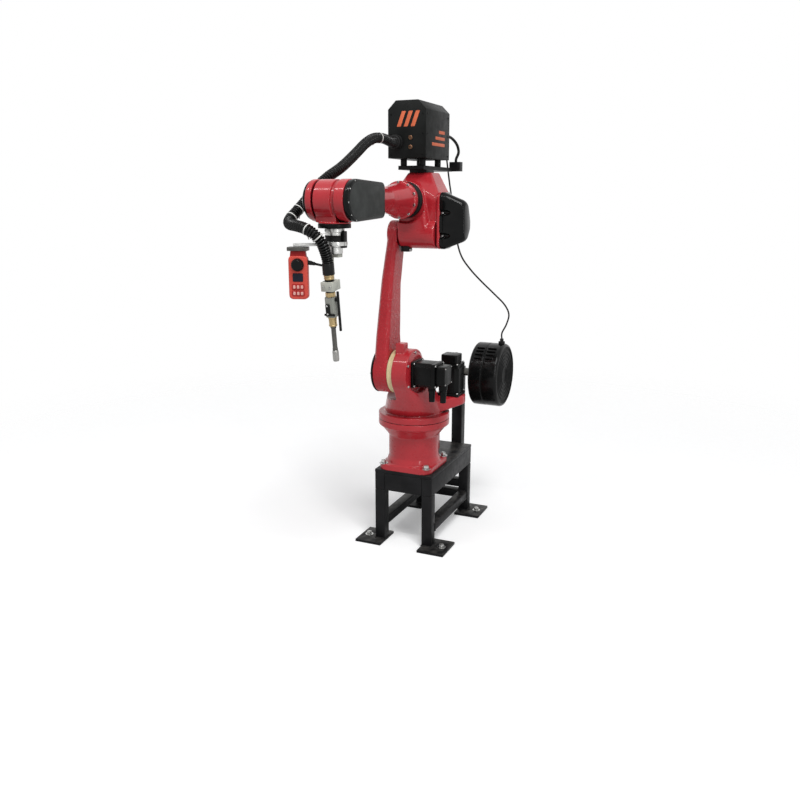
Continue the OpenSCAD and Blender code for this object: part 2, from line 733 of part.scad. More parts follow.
foot_plates();
stand_legs();
stand_side_rails();
stand_cross_bars();
stand_top_plate();
robot_base();
base_connectors();
reel_post();
reel_spindle();
wire_drum();
drum_outlet();
turret();
shoulder_seal();
shoulder_motor();
swivel_motor();
lower_arm();
shoulder_cap();
elbow();
elbow_cover();
roll_ring();
elbow_stop();
feeder_plate();
feeder_feet();
feeder_box();
feeder_gland();
feeder_sockets();
feeder_inlet();
forearm();
wrist_cover();
wrist_cap();
wrist();
tool_plate();
collision_sensor();
torch_clamp();
torch_body();
torch_nozzle();
handle_bracket();
teach_handle();
handle_knob();
hose_upper();
hose_middle();
hose_lower();
liner_lower();
liner_middle();
liner_upper();
feeder_loop();
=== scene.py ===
"""Looks for a six-axis welding robot on its stand: castings, motors, feeder, drum, torch and hoses."""

import json
import math

import bmesh
import bpy
from mathutils import Matrix, Vector

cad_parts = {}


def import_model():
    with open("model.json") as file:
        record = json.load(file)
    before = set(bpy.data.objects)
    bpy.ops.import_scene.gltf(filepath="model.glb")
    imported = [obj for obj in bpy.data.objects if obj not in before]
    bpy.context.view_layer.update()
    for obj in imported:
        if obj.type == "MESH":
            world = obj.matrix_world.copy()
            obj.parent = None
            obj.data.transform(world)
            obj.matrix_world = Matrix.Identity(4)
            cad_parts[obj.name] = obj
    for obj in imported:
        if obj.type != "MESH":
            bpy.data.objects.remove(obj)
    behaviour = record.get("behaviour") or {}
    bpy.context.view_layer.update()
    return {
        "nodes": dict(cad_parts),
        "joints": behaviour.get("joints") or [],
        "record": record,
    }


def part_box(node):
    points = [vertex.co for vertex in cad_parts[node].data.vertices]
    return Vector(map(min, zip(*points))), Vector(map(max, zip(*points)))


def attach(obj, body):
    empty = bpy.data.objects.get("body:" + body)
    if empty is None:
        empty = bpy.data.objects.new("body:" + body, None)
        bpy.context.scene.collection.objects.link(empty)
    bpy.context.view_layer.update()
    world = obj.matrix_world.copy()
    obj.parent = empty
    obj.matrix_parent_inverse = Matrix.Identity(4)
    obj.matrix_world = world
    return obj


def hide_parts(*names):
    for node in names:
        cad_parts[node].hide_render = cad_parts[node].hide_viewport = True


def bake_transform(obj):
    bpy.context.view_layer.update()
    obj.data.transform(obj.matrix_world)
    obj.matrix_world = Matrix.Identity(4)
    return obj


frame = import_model()

MM = 0.001
TURN = 2 * math.pi
AXIS = {joint["name"]: Vector(joint["pos_m"]) for joint in frame["joints"]}
BASE_X = AXIS["swivel"].x
SHOULDER = AXIS["shoulder"]
ROLL = AXIS["forearm_roll"]
WRIST = AXIS["wrist_bend"]
X_AXIS = Vector((1, 0, 0))
Y_AXIS = Vector((0, 1, 0))
Z_AXIS = Vector((0, 0, 1))
HERE = Matrix.Identity(4)
SQUARE = ((-1, -1), (1, -1), (1, 1), (-1, 1))
SIGNS = ((-1, -1), (-1, 1), (1, -1), (1, 1))


def at(x, y, z):
    """A place in millimetres, with x measured from the first axis."""
    return Vector((BASE_X + x * MM, y * MM, z * MM))


def shift(x, y, z):
    """A move in millimetres."""
    return Matrix.Translation((x * MM, y * MM, z * MM))


def basis(across, up, out):
    """A turn that lays local X, Y and Z along three directions."""
    return Matrix((across, up, out)).transposed().to_4x4()


def extent(node):
    """A node's low corner and middle in metres, and its size in millimetres."""
    low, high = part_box(node)
    return low, (low + high) / 2, (high - low) / MM


def facing(direction):
    """The turn that points a camera or lamp along a direction."""
    return Vector(direction).to_track_quat("-Z", "Y").to_euler()


def linked(name, data):
    """A new object in the scene."""
    thing = bpy.data.objects.new(name, data)
    bpy.context.scene.collection.objects.link(thing)
    return thing


FRONT = basis(Y_AXIS, Z_AXIS, X_AXIS)


# Camera

CAMERA_PLACE = (3.498, 1.420, 1.600)
CAMERA_FORWARD = (-0.8856, -0.3943, -0.2453)
CAMERA_LENS = 36.0
CAMERA_SENSOR = 36.0


def add_camera():
    data = bpy.data.cameras.new("camera")
    data.sensor_width = CAMERA_SENSOR
    data.lens = CAMERA_LENS
    camera = linked("camera", data)
    camera.location = CAMERA_PLACE
    camera.rotation_euler = facing(CAMERA_FORWARD)
    bpy.context.scene.camera = camera


add_camera()


# Materials

class Look:
    """A material under construction: its node tree, its shader and object coordinates in metres."""

    def __init__(self, name):
        self.material = bpy.data.materials.new(name)
        self.material.use_nodes = True
        self.tree = self.material.node_tree
        self.shader = self.tree.nodes["Principled BSDF"]
        self.coords = self.node("TexCoord")

    def node(self, kind):
        return self.tree.nodes.new("ShaderNode" + kind)

    def link(self, source, target):
        self.tree.links.new(source, target)

    def put(self, **values):
        for key, value in values.items():
            socket = self.shader.inputs[key.replace("_", " ")]
            socket.default_value = value

    def noise(self, scale, detail=2.0, stretch=(1, 1, 1)):
        mapping = self.node("Mapping")
        mapping.inputs["Scale"].default_value = stretch
        self.link(self.coords.outputs["Object"], mapping.inputs["Vector"])
        node = self.node("TexNoise")
        node.inputs["Scale"].default_value = scale
        node.inputs["Detail"].default_value = detail
        self.link(mapping.outputs["Vector"], node.inputs["Vector"])
        return node.outputs["Fac"]

    def remap(self, value, low, high, out_low, out_high):
        node = self.node("MapRange")
        limits = {"From Min": low, "From Max": high, "To Min": out_low, "To Max": out_high}
        for key, number in limits.items():
            node.inputs[key].default_value = number
        self.link(value, node.inputs["Value"])
        return node.outputs["Result"]

    def patches(self, scale, detail, low, high, start=0.3, end=0.7, stretch=(1, 1, 1)):
        """Noise spread between two values."""
        return self.remap(self.noise(scale, detail, stretch), start, end, low, high)

    def times(self, a, b):
        node = self.node("Math")
        node.operation = "MULTIPLY"
        self.link(a, node.inputs[0])
        self.link(b, node.inputs[1])
        return node.outputs["Value"]

    def mix(self, factor, first, second):
        node = self.node("Mix")
        node.data_type = "RGBA"
        self.link(factor, node.inputs["Factor"])
        for socket, value in ((node.inputs["A"], first), (node.inputs["B"], second)):
            if isinstance(value, bpy.types.NodeSocket):
                self.link(value, socket)
            else:
                socket.default_value = (*value, 1.0)
        return node.outputs["Result"]

    def painted_crease_shade(self, reach):
        """Painted shade mask: one in corners closer than a reach in metres, nought in the open."""
        node = self.node("AmbientOcclusion")
        node.samples = 6
        node.inputs["Distance"].default_value = reach
        return self.remap(node.outputs["AO"], 0.35, 0.85, 1.0, 0.0)

    def facing_up(self):
        """One on level faces, nought on upright ones."""
        node = self.node("SeparateXYZ")
        self.link(self.coords.outputs["Normal"], node.inputs["Vector"])
        return self.remap(node.outputs["Z"], 0.6, 1.0, 0.0, 1.0)

    def colour(self, socket):
        self.link(socket, self.shader.inputs["Base Color"])

    def rough(self, socket):
        self.link(socket, self.shader.inputs["Roughness"])

    def bump(self, *layers):
        """Layers of (height, depth in metres, strength), each on top of the last."""
        normal = None
        for height, distance, strength in layers:
            node = self.node("Bump")
            node.inputs["Distance"].default_value = distance
            node.inputs["Strength"].default_value = strength
            self.link(height, node.inputs["Height"])
            if normal is not None:
                self.link(normal, node.inputs["Normal"])
            normal = node.outputs["Normal"]
        self.link(normal, self.shader.inputs["Normal"])
        self.link(normal, self.shader.inputs["Coat Normal"])


RED_DEEP = (0.36, 0.015, 0.022)
RED_BRIGHT = (0.44, 0.021, 0.030)
# Painted shade: the colour that red paint darkens to in creases and corners.
RED_PAINTED_SHADE = (0.06, 0.003, 0.005)
DUST = (0.16, 0.15, 0.135)
GLOSS_DEEP = (0.003, 0.0032, 0.0033)
GLOSS_SMEAR = (0.006, 0.0062, 0.0063)
# Painted shade: the colour that bare metal darkens to in creases and corners.
METAL_PAINTED_SHADE = (0.05, 0.05, 0.05)


def scaled(tone, share):
    return tuple(value * share for value in tone)


def red_paint(name, grain, depth, strength, coat):
    """Gloss red over a casting: grain per metre, its depth in metres and strength, and the clear coat."""
    look = Look(name)
    paint = look.mix(look.patches(7.0, 3.0, 0, 1), RED_DEEP, RED_BRIGHT)
    # Painted shade: the paint darkens towards a deep dark red in creases and corners.
    look.colour(look.mix(look.painted_crease_shade(0.012), paint, RED_PAINTED_SHADE))
    look.rough(look.patches(26.0, 4.0, 0.24, 0.36))
    look.put(Coat_Weight=coat, Coat_Roughness=0.04, Specular_IOR_Level=0.18)
    fine = look.noise(grain * 3.1, 1.0)
    look.bump((look.noise(grain, 2.0), depth, strength), (fine, depth * 0.3, strength * 0.6))
    return look.material


def dark_paint(name, tone, rough, dust, grain, shine):
    """Black or dark paint with fine grain, uneven gloss and dust on top faces."""
    look = Look(name)
    cloud = look.patches(14.0, 5.0, 0, 1, 0.35)
    lighter = tuple(value * 1.7 + 0.002 for value in tone)
    painted = look.mix(cloud, tone, lighter)
    settled = look.times(look.facing_up(), look.patches(30.0, 6.0, 0.0, dust, 0.4, 0.75))
    look.colour(look.mix(settled, painted, DUST))
    look.rough(look.patches(40.0, 4.0, rough, rough + 0.14))
    look.put(Specular_IOR_Level=shine)
    look.bump((look.noise(grain, 2.0), 0.00018, 0.35))
    return look.material


def gloss_black(name, rough):
    """Polished black moulding with faint smears."""
    look = Look(name)
    smear = look.patches(20.0, 4.0, 0, 1, 0.35)
    look.colour(look.mix(smear, GLOSS_DEEP, GLOSS_SMEAR))
    look.rough(look.patches(55.0, 5.0, rough, rough + 0.10))
    look.put(Specular_IOR_Level=0.13)
    look.bump((look.noise(90.0, 1.0), 0.0002, 0.2))
    return look.material


def metal(name, tone, rough, brush):
    """Bare metal: brush stretches its fine lines round or along the piece."""
    look = Look(name)
    stain = look.patches(60.0, 5.0, 0, 1, 0.35)
    stained = look.mix(stain, tone, scaled(tone, 0.72))
    # Painted shade: the metal darkens to dark grey in creases and corners.
    look.colour(look.mix(look.painted_crease_shade(0.006), stained, METAL_PAINTED_SHADE))
    look.rough(look.patches(300.0, 3.0, rough, rough + 0.16, stretch=brush))
    look.put(Metallic=1.0)
    look.bump((look.noise(500.0, 2.0, brush), 0.00008, 0.3))
    return look.material


def matte(name, tone, rough, grain, depth, shine=0.18):
    """Plain moulded plastic or rubber with a fine grain."""
    look = Look(name)
    cloud = look.patches(25.0, 5.0, 0, 1)
    clouded = look.mix(cloud, tone, scaled(tone, 0.78))
    # Painted shade: the tone darkens to three tenths of itself in creases and corners.
    look.colour(look.mix(look.painted_crease_shade(0.005), clouded, scaled(tone, 0.3)))
    look.rough(look.patches(70.0, 4.0, rough - 0.06, rough + 0.08))
    look.put(Specular_IOR_Level=shine)
    look.bump((look.noise(grain, 2.0), depth, 0.4))
    return look.material


RED = red_paint("red_paint", 300.0, 0.0003, 0.35, 0.45)
RED_ROUGH = red_paint("red_rough_cast", 110.0, 0.0032, 1.0, 0.14)
STAND_BLACK = dark_paint("stand_black", (0.0055, 0.0055, 0.006), 0.34, 0.30, 700.0, 0.12)
MOTOR_BLACK = dark_paint("motor_black", (0.0024, 0.0025, 0.0025), 0.24, 0.05, 900.0, 0.10)
SHEET_BLACK = dark_paint("sheet_black", (0.0044, 0.0050, 0.0047), 0.40, 0.10, 1100.0, 0.10)
COVER_GREY = dark_paint("cover_grey", (0.025, 0.027, 0.026), 0.46, 0.05, 1300.0, 0.12)
GLOSS_BLACK = gloss_black("gloss_black", 0.06)
DRUM_BLACK = matte("drum_black", (0.0042, 0.0044, 0.0044), 0.42, 400.0, 0.00006, 0.035)
DRUM_GLOSS = matte("drum_gloss", (0.0042, 0.0044, 0.0044), 0.20, 400.0, 0.00004, 0.15)
HOSE_BLACK = matte("hose_black", (0.0048, 0.0049, 0.0049), 0.24, 600.0, 0.0001, 0.20)
RUBBER = matte("rubber", (0.008, 0.008, 0.008), 0.60, 900.0, 0.0002)
STEEL = metal("steel", (0.60, 0.60, 0.585), 0.24, (1, 1, 6))
TIP_STEEL = metal("tip_steel", (0.34, 0.335, 0.32), 0.26, (1, 1, 6))
DARK_STEEL = metal("dark_steel", (0.11, 0.108, 0.10), 0.30, (1, 1, 0.3))
BRASS = metal("brass", (0.46, 0.345, 0.175), 0.28, (1, 1, 5))
DULL_BRASS = metal("dull_brass", (0.20, 0.105, 0.060), 0.42, (1, 1, 5))
CLAMP_GREY = matte("clamp_grey", (0.52, 0.53, 0.47), 0.44, 700.0, 0.0002)
BLOCK_GREY = matte("block_grey", (0.32, 0.33, 0.295), 0.42, 700.0, 0.0002)
SEAL_CREAM = matte("seal_cream", (0.74, 0.62, 0.36), 0.52, 500.0, 0.0003)
HANDLE_RED = matte("handle_red", (0.70, 0.090, 0.066), 0.40, 1200.0, 0.0001)
KEY_PINK = matte("key_pink", (0.80, 0.42, 0.37), 0.40, 1200.0, 0.0001)
HANDLE_DEEP = matte("handle_deep", (0.42, 0.022, 0.022), 0.42, 1200.0, 0.0001)
ORANGE = matte("orange_film", (0.72, 0.165, 0.075), 0.46, 900.0, 0.00008)
TIE_WHITE = matte("tie_white", (0.72, 0.72, 0.69), 0.42, 900.0, 0.0001)
SCREEN = matte("screen", (0.010, 0.012, 0.026), 0.20, 900.0, 0.00002)


# Mesh building: each shape is drawn in its own bmesh and then joined to a piece

SMOOTH = 38
SMOOTH_CAST = 60
SMOOTH_TUBE = 70


def place_on(origin, axis, spin=0.0):
    """A matrix that puts local +Z along axis at origin."""
    turn = Z_AXIS.rotation_difference(Vector(axis).normalized()).to_matrix().to_4x4()
    return Matrix.Translation(origin) @ turn @ Matrix.Rotation(spin, 4, "Z")


def mesh_of(name, part):
    """A mesh from a bmesh, which is used up."""
    mesh = bpy.data.meshes.new(name)
    part.to_mesh(mesh)
    part.free()
    return mesh


def join(target, part, place=HERE):
    """Moves part into place and adds it to target."""
    part.transform(place)
    if place.to_3x3().determinant() < 0:
        bmesh.ops.reverse_faces(part, faces=part.faces)
    mesh = mesh_of("part", part)
    target.from_mesh(mesh)
    bpy.data.meshes.remove(mesh)


def gather(*shapes):
    """One bmesh from (shape, place) pairs."""
    whole = bmesh.new()
    for shape, place in shapes:
        join(whole, shape, place)
    return whole


def bridge(part, rings):
    """Joins rings with the same number of corners by quads."""
    for low, high in zip(rings, rings[1:]):
        for k in range(len(low)):
            n = (k + 1) % len(low)
            part.faces.new((low[k], low[n], high[n], high[k]))


def rounded(points, radius, closed=False, steps=3):
    """A 2-D outline with its corners rounded."""
    result = []
    count = len(points)
    for i, point in enumerate(points):
        corner = Vector(point)
        if not closed and i in (0, count - 1):
            result.append(corner)
            continue
        before = Vector(points[i - 1]) - corner
        after = Vector(points[(i + 1) % count]) - corner
        cut = min(radius, before.length * 0.48, after.length * 0.48)
        first = corner + before.normalized() * cut
        last = corner + after.normalized() * cut
        for k in range(steps + 1):
            t = k / steps
            result.append(first * (1 - t) ** 2 + corner * 2 * t * (1 - t) + last * t ** 2)
    return result


def lathe(profile, edge=0.0, sides=56, hollow=False):
    """A turned shape about local Z from (radius, height) points in millimetres."""
    part = bmesh.new()
    outline = rounded(profile, edge) if edge else [Vector(p) for p in profile]
    rings = []
    for radius, height in outline:
        if radius < 1e-6:
            rings.append([part.verts.new((0, 0, height * MM))])
            continue
        rings.append([part.verts.new((x * MM, y * MM, height * MM)) for x, y in circle(radius, sides)])
    pairs = list(zip(rings, rings[1:]))
    if hollow:
        pairs.append((rings[-1], rings[0]))
    for low, high in pairs:
        for k in range(sides):
            n = (k + 1) % sides
            corners = [low[k % len(low)], low[n % len(low)], high[n % len(high)], high[k % len(high)]]
            unique = list(dict.fromkeys(corners))
            if len(unique) > 2:
                part.faces.new(unique)
    bmesh.ops.recalc_face_normals(part, faces=part.faces)
    return part


def bevel_sharp(part, width, steps=3, limit=30):
    """Rounds the edges that turn by more than the limit, in degrees."""
    bmesh.ops.recalc_face_normals(part, faces=part.faces)
    sharp = [e for e in part.edges if e.is_manifold and e.calc_face_angle(0) > math.radians(limit)]
    bmesh.ops.bevel(part, geom=sharp, offset=width * MM, segments=steps, profile=0.5, affect="EDGES",
                    clamp_overlap=True)


def prism(outline, depth, edge=1.0, top_scale=1.0, steps=3):
    """An outline in millimetres raised along local Z, with rounded rims."""
    part = bmesh.new()
    low = [part.verts.new((x * MM, y * MM, 0)) for x, y in outline]
    high = [part.verts.new((x * MM * top_scale, y * MM * top_scale, depth * MM)) for x, y in outline]
    part.faces.new(list(reversed(low)))
    part.faces.new(high)
    bridge(part, [low, high])
    if edge:
        bevel_sharp(part, edge, steps)
    else:
        bmesh.ops.recalc_face_normals(part, faces=part.faces)
    return part


def rectangle(width, height, corner, steps=6):
    """A rectangle about the origin with rounded corners."""
    return rounded([(x * width / 2, y * height / 2) for x, y in SQUARE], corner, True, steps)


def circle(radius, sides=48, centre=(0, 0)):
    return [(centre[0] + x, centre[1] + y) for x, y in ring_of(sides, radius)]


def belt(circles):
    """The outline of a belt stretched round circles, each (x, y, radius)."""
    points = sorted(point for x, y, radius in circles for point in circle(radius, 64, (x, y)))

    def chain(ordered):
        kept = []
        for p in ordered:
            while len(kept) > 1:
                a, b = kept[-2], kept[-1]
                if (b[0] - a[0]) * (p[1] - a[1]) - (b[1] - a[1]) * (p[0] - a[0]) > 1e-9:
                    break
                kept.pop()
            kept.append(p)
        return kept[:-1]

    return chain(points) + chain(points[::-1])


def socket_screw(radius, height, sides=20):
    """A socket-head screw that stands on z = 0."""
    root, floor_level, bore = -height * 0.2, height * 0.45, radius * 0.56
    return lathe([(0, root), (radius, root), (radius, height * 0.9), (radius * 0.9, height), (bore, height),
                  (bore, floor_level), (0, floor_level)], 0, sides)


def hex_bolt(size, height):
    """A hexagon bolt with a washer; size is across its corners."""
    washer, thread, end = size * 0.82, size * 0.24, height + 3.5
    return gather(
        (lathe([(0, -0.5), (washer, -0.5), (washer, 1.6), (0, 1.6)], 0.4, 24), HERE),
        (prism(circle(size / 2, 6), height, 0.7, 0.97, 2), shift(0, 0, 1.2)),
        (lathe([(0, height), (thread, height), (thread, end), (0, end)], 0.6, 16), HERE))


def ring_of(count, radius, start=0.0):
    """Places round a circle as (x, y) pairs in millimetres."""
    return [(radius * math.cos(start + TURN * k / count), radius * math.sin(start + TURN * k / count))
            for k in range(count)]


def make(name, part, body, looks, replaced=(), smooth=SMOOTH):
    """Turns a bmesh into a piece of the object that rides on a body."""
    looks = looks if isinstance(looks, list) else [looks]
    return dress(linked(name, mesh_of(name, part)), body, looks, replaced, smooth)


def smooth_shading(piece, angle):
    """Shades a piece smooth, with creases that turn by more than an angle in degrees."""
    piece.data.polygons.foreach_set("use_smooth", [True] * len(piece.data.polygons))
    piece.data.set_sharp_from_angle(angle=math.radians(angle))


def dress(piece, body, looks, replaced, smooth):
    """Gives a piece its looks, its body and the nodes that it stands for."""
    for look in looks:
        piece.data.materials.append(look)
    smooth_shading(piece, smooth)
    if body:
        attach(piece, body)
    if replaced:
        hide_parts(*replaced)
    return piece


def applied(piece):
    """Puts a piece's modifiers into its mesh."""
    graph = bpy.context.evaluated_depsgraph_get()
    mesh = bpy.data.meshes.new_from_object(piece.evaluated_get(graph))
    piece.modifiers.clear()
    old = piece.data
    piece.data = mesh
    bpy.data.meshes.remove(old)


def copy_of(node):
    """A node's solid as a bmesh, welded at its seams."""
    part = bmesh.new()
    part.from_mesh(frame["nodes"][node].data)
    bmesh.ops.remove_doubles(part, verts=part.verts, dist=2e-6)
    return part


def body_of(node):
    return next(name for name, members in frame["record"]["behaviour"]["bodies"].items() if node in members)


def casting(node, look, voxel, rounds, keep):
    """A casting with soft fillets: the node's solid, remeshed in voxels, smoothed and thinned."""
    name = node + "_casting"
    piece = linked(name, mesh_of(name, copy_of(node)))
    remesh = piece.modifiers.new("fuse", "REMESH")
    remesh.mode = "VOXEL"
    remesh.voxel_size = voxel * MM
    relax = piece.modifiers.new("relax", "SMOOTH")
    relax.factor = 0.5
    relax.iterations = rounds
    thin = piece.modifiers.new("thin", "DECIMATE")
    thin.ratio = keep
    bpy.context.view_layer.update()
    applied(piece)
    return dress(piece, body_of(node), [look], [node], SMOOTH_CAST)


def softened(node, look, edge):
    """A fabricated piece: the node's solid with its edges broken."""
    part = copy_of(node)
    bmesh.ops.dissolve_limit(part, angle_limit=math.radians(0.8), verts=part.verts, edges=part.edges)
    bevel_sharp(part, edge, 2, 35)
    make(node + "_piece", part, body_of(node), look, [node])


# Cords

HOSE_ROUTE = [
    (118, -50, 1828), (150, -50, 1828), (200, -62, 1838), (260, -73, 1835), (330, -76, 1812),
    (400, -76, 1778), (470, -76, 1744), (540, -80, 1710), (600, -100, 1677),
    (648, -120, 1642), (690, -134, 1603), (735, -150, 1562), (784, -162, 1524), (818, -144, 1508),
    (840, -104, 1503), (852, -60, 1494), (850, -24, 1474), (836, -4, 1444),
    (818, 0, 1412), (804, 0, 1384), (798.5, 0, 1356), (795, 0, 1330)]
HOSE_CUTS = (0, 8, 13, 21)
HOSE_D = 42
HOSE_PITCH = 9.5
RIB_DEPTH = 5.4
TIE_HALF = 2.2
TIE_TAIL_LEAN = 62
HOSE_TIES = ((2.4,), (11.1, 11.8), (15.2, 16.4))
LINER_ROUTE = [
    (-450, 282, 920), (-450, 282, 948), (-455, 302, 992), (-450, 314, 1042), (-425, 298, 1092),
    (-380, 255, 1150), (-330, 208, 1210),
    (-280, 168, 1270), (-240, 138, 1330), (-228, 118, 1400), (-245, 100, 1480),
    (-282, 72, 1570), (-322, 40, 1670), (-342, 20, 1755), (-326, 16, 1824),
    (-280, 20, 1856), (-236, 20, 1860), (-211, 20, 1860)]
LINER_CUTS = (0, 6, 10, 17)
LINER_D = 8
LOOP_ROUTE = [
    (-205, 55, 1873), (-230, 55, 1873), (-276, 66, 1864), (-312, 78, 1838), (-326, 82, 1806),
    (-321, 75, 1782), (-319, 72, 1773), (-319, 72, 1761)]
LOOP_D = 13


def curve_through(points, steps=10):
    """A smooth curve through points, with the place of each point in it."""
    result = []
    marks = []
    for i in range(len(points) - 1):
        p0, p1 = points[max(i - 1, 0)], points[i]
        p2, p3 = points[i + 1], points[min(i + 2, len(points) - 1)]
        marks.append(len(result))
        for k in range(steps):
            t = k / steps
            result.append(0.5 * ((2 * p1) + (p2 - p0) * t + (2 * p0 - 5 * p1 + 4 * p2 - p3) * t * t
                                 + (3 * p1 - p0 - 3 * p2 + p3) * t ** 3))
    marks.append(len(result))
    result.append(points[-1].copy())
    return result, marks


def length_of(path):
    return sum((b - a).length for a, b in zip(path, path[1:]))


def even(path, step):
    """The path again with points at an even spacing, ends kept."""
    total = length_of(path)
    count = max(2, round(total / step))
    result = [path[0].copy()]
    walked = 0.0
    wanted = total / count
    for a, b in zip(path, path[1:]):
        span = (b - a).length
        while span > 0 and walked + span >= wanted * len(result) - 1e-9 and len(result) < count:
            result.append(a.lerp(b, (wanted * len(result) - walked) / span))
        walked += span
    result.append(path[-1].copy())
    return result


def tube(path, radius_at, sides=20):
    """A closed tube along a path; radius_at gives the radius at a distance in metres."""
    part = bmesh.new()
    tangent = (path[1] - path[0]).normalized()
    across = tangent.orthogonal().normalized()
    walked = 0.0
    rings = []
    for i, point in enumerate(path):
        ahead = path[min(i + 1, len(path) - 1)] - path[max(i - 1, 0)]
        new_tangent = ahead.normalized()
        across = tangent.rotation_difference(new_tangent) @ across
        tangent = new_tangent
        other = tangent.cross(across)
        if i:
            walked += (point - path[i - 1]).length
        radius = radius_at(walked)
        rings.append([part.verts.new(point + radius * (math.cos(TURN * k / sides) * across
                                                       + math.sin(TURN * k / sides) * other))
                      for k in range(sides)])
    bridge(part, rings)
    part.faces.new(list(reversed(rings[0])))
    part.faces.new(rings[-1])
    bmesh.ops.recalc_face_normals(part, faces=part.faces)
    return part


def corrugation(diameter, pitch, depth):
    """A radius that dips into a rounded groove once a pitch, all in millimetres."""
    return lambda s: (diameter / 2 - depth * (0.5 - 0.5 * math.cos(TURN * s / (pitch * MM))) ** 1.5) * MM


def add_cord(name, route, first, last, diameter, bodies, pitch=0.0):
    """One stretch of a cord that runs between two bodies and rides on neither, or rides on one."""
    points, marks = curve_through([at(*p) for p in route])
    path = points[marks[first]:marks[last] + 1]
    if pitch:
        fine = even(path, pitch * MM / 6)
        shape = tube(fine, corrugation(diameter, pitch, RIB_DEPTH), 24)
    else:
        fine = even(path, diameter * MM * 0.6)
        shape = tube(fine, lambda s: diameter / 2 * MM, 14)
    rider = None if len(bodies) > 1 else bodies[0]
    piece = make(name + "_run", shape, rider, HOSE_BLACK, [name], SMOOTH_TUBE)
    if len(bodies) > 1:
        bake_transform(piece)


HOSE_BODIES = (("elbow", "forearm"), ("forearm", "wrist"), ("wrist", "tool"))
LINER_BODIES = (("stand", "turret"), ("turret", "lower_arm"), ("lower_arm", "elbow"))
STRETCHES = ("upper", "middle", "lower")
for i in range(3):
    hose_ends = HOSE_CUTS[i:i + 2]
    add_cord("hose_" + STRETCHES[i], HOSE_ROUTE, *hose_ends, HOSE_D, HOSE_BODIES[i], HOSE_PITCH)
    liner_ends = LINER_CUTS[i:i + 2]
    add_cord("liner_" + STRETCHES[2 - i], LINER_ROUTE, *liner_ends, LINER_D, LINER_BODIES[i])


def hose_ties(stretch):
    """Cable ties round the hose, at places counted in route points."""
    points, marks = curve_through([at(*p) for p in HOSE_ROUTE])
    part = bmesh.new()
    radius = HOSE_D / 2
    inner, outer = radius - 2, radius + 0.6
    band = [(inner, -TIE_HALF), (outer, -TIE_HALF), (outer, TIE_HALF), (inner, TIE_HALF)]
    tail = Matrix.Rotation(math.radians(TIE_TAIL_LEAN), 4, "Y")
    for spot in HOSE_TIES[stretch]:
        index = round(marks[int(spot)] + (spot % 1) * (marks[int(spot) + 1] - marks[int(spot)]))
        place = place_on(points[index], points[index + 1] - points[index - 1], 2.2 * spot)
        join(part, lathe(band, 0.4, 40, True), place)
        join(part, prism(rectangle(5, 6, 1), 6, 0.6), place @ shift(radius + 1.5, 0, -3))
        join(part, prism(rectangle(1.2, 3.6, 0.3), 20, 0.2), place @ shift(radius + 1.5, 0, 0) @ tail)
    piece = make(f"hose_ties_{STRETCHES[stretch]}", part, None, TIE_WHITE)
    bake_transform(piece)


for stretch_index in range(3):
    hose_ties(stretch_index)
add_cord("feeder_loop", LOOP_ROUTE, 0, len(LOOP_ROUTE) - 1, LOOP_D, ("elbow",))


# Stand

ANCHOR_IN_X = 80
ANCHOR_IN_Y = 36
LEG_X = 252
LEG_Y = 119
RAIL_TOP = 115
RAIL_H = 40
BEAD_R = 3.4
BEAD_RIPPLE = 0.45
BEAD_PITCH = 4.6
BEAD_STEP = 1.2
BASE_FLANGE = 28
BASE_BOLT = 108


def anchors():
    """Anchor bolts through the foot plates."""
    part = bmesh.new()
    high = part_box("foot_plates")[1]
    for sx, sy in SIGNS:
        spot = Vector((sx * (high.x - ANCHOR_IN_X * MM), sy * (high.y - ANCHOR_IN_Y * MM), high.z))
        join(part, hex_bolt(24, 13), place_on(spot, Z_AXIS, 0.3 * sx + sy))
    return part


def weld(part, first, last):
    """A rippled bead along an inside corner, between two places in millimetres."""
    path = even([Vector(first) * MM, Vector(last) * MM], BEAD_STEP * MM)
    join(part, tube(path, lambda s: (BEAD_R + BEAD_RIPPLE * math.sin(TURN * s / (BEAD_PITCH * MM))) * MM, 10))


def weld_beads():
    """Beads round the legs' feet and over the ends of the lower rails."""
    part = bmesh.new()
    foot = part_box("foot_plates")[1].z / MM
    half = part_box("stand_legs")[1].x / MM - LEG_X
    for sx, sy in SIGNS:
        corners = [(sx * LEG_X + x * half, sy * LEG_Y + y * half, foot) for x, y in SQUARE]
        for first, last in zip(corners, corners[1:] + corners[:1]):
            weld(part, first, last)
        inner = sx * (LEG_X - half)
        weld(part, (inner, sy * LEG_Y - half, RAIL_TOP), (inner, sy * LEG_Y + half, RAIL_TOP))
        side = sy * (LEG_Y + half)
        weld(part, (inner, side, RAIL_TOP - RAIL_H), (inner, side, RAIL_TOP))
    return part


def base_bolts():
    """Bolts at the corners of the base flange."""
    part = bmesh.new()
    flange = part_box("robot_base")[0].z + BASE_FLANGE * MM
    for sx, sy in SIGNS:
        spot = Vector((BASE_X + sx * BASE_BOLT * MM, sy * BASE_BOLT * MM, flange))
        join(part, hex_bolt(26, 14), place_on(spot, Z_AXIS, sx + 0.4 * sy))
    return part


softened("foot_plates", STAND_BLACK, 1.5)
make("weld_beads", weld_beads(), "stand", STAND_BLACK, (), SMOOTH_TUBE)
for tube_node in ("stand_legs", "stand_side_rails", "stand_cross_bars"):
    softened(tube_node, STAND_BLACK, 4.0)
softened("stand_top_plate", STAND_BLACK, 1.5)
make("anchor_bolts", anchors(), "stand", STEEL)
softened("reel_post", STAND_BLACK, 3.0)
softened("reel_spindle", DARK_STEEL, 1.0)
softened("base_connectors", MOTOR_BLACK, 1.2)
casting("robot_base", RED, 3.0, 8, 0.4)
make("base_bolts", base_bolts(), "stand", STEEL)


# Drum

DRUM_RIM = 16
DRUM_RINGS_IN = 34
DRUM_RING_STEP = 18
DRUM_HUB = 40
LOUVRE_ROWS = 4
LOUVRE_FROM = 40
LOUVRE_STEP = 8
LOUVRE_SPANS = ((0.14, 0.27), (0.52, 0.30))


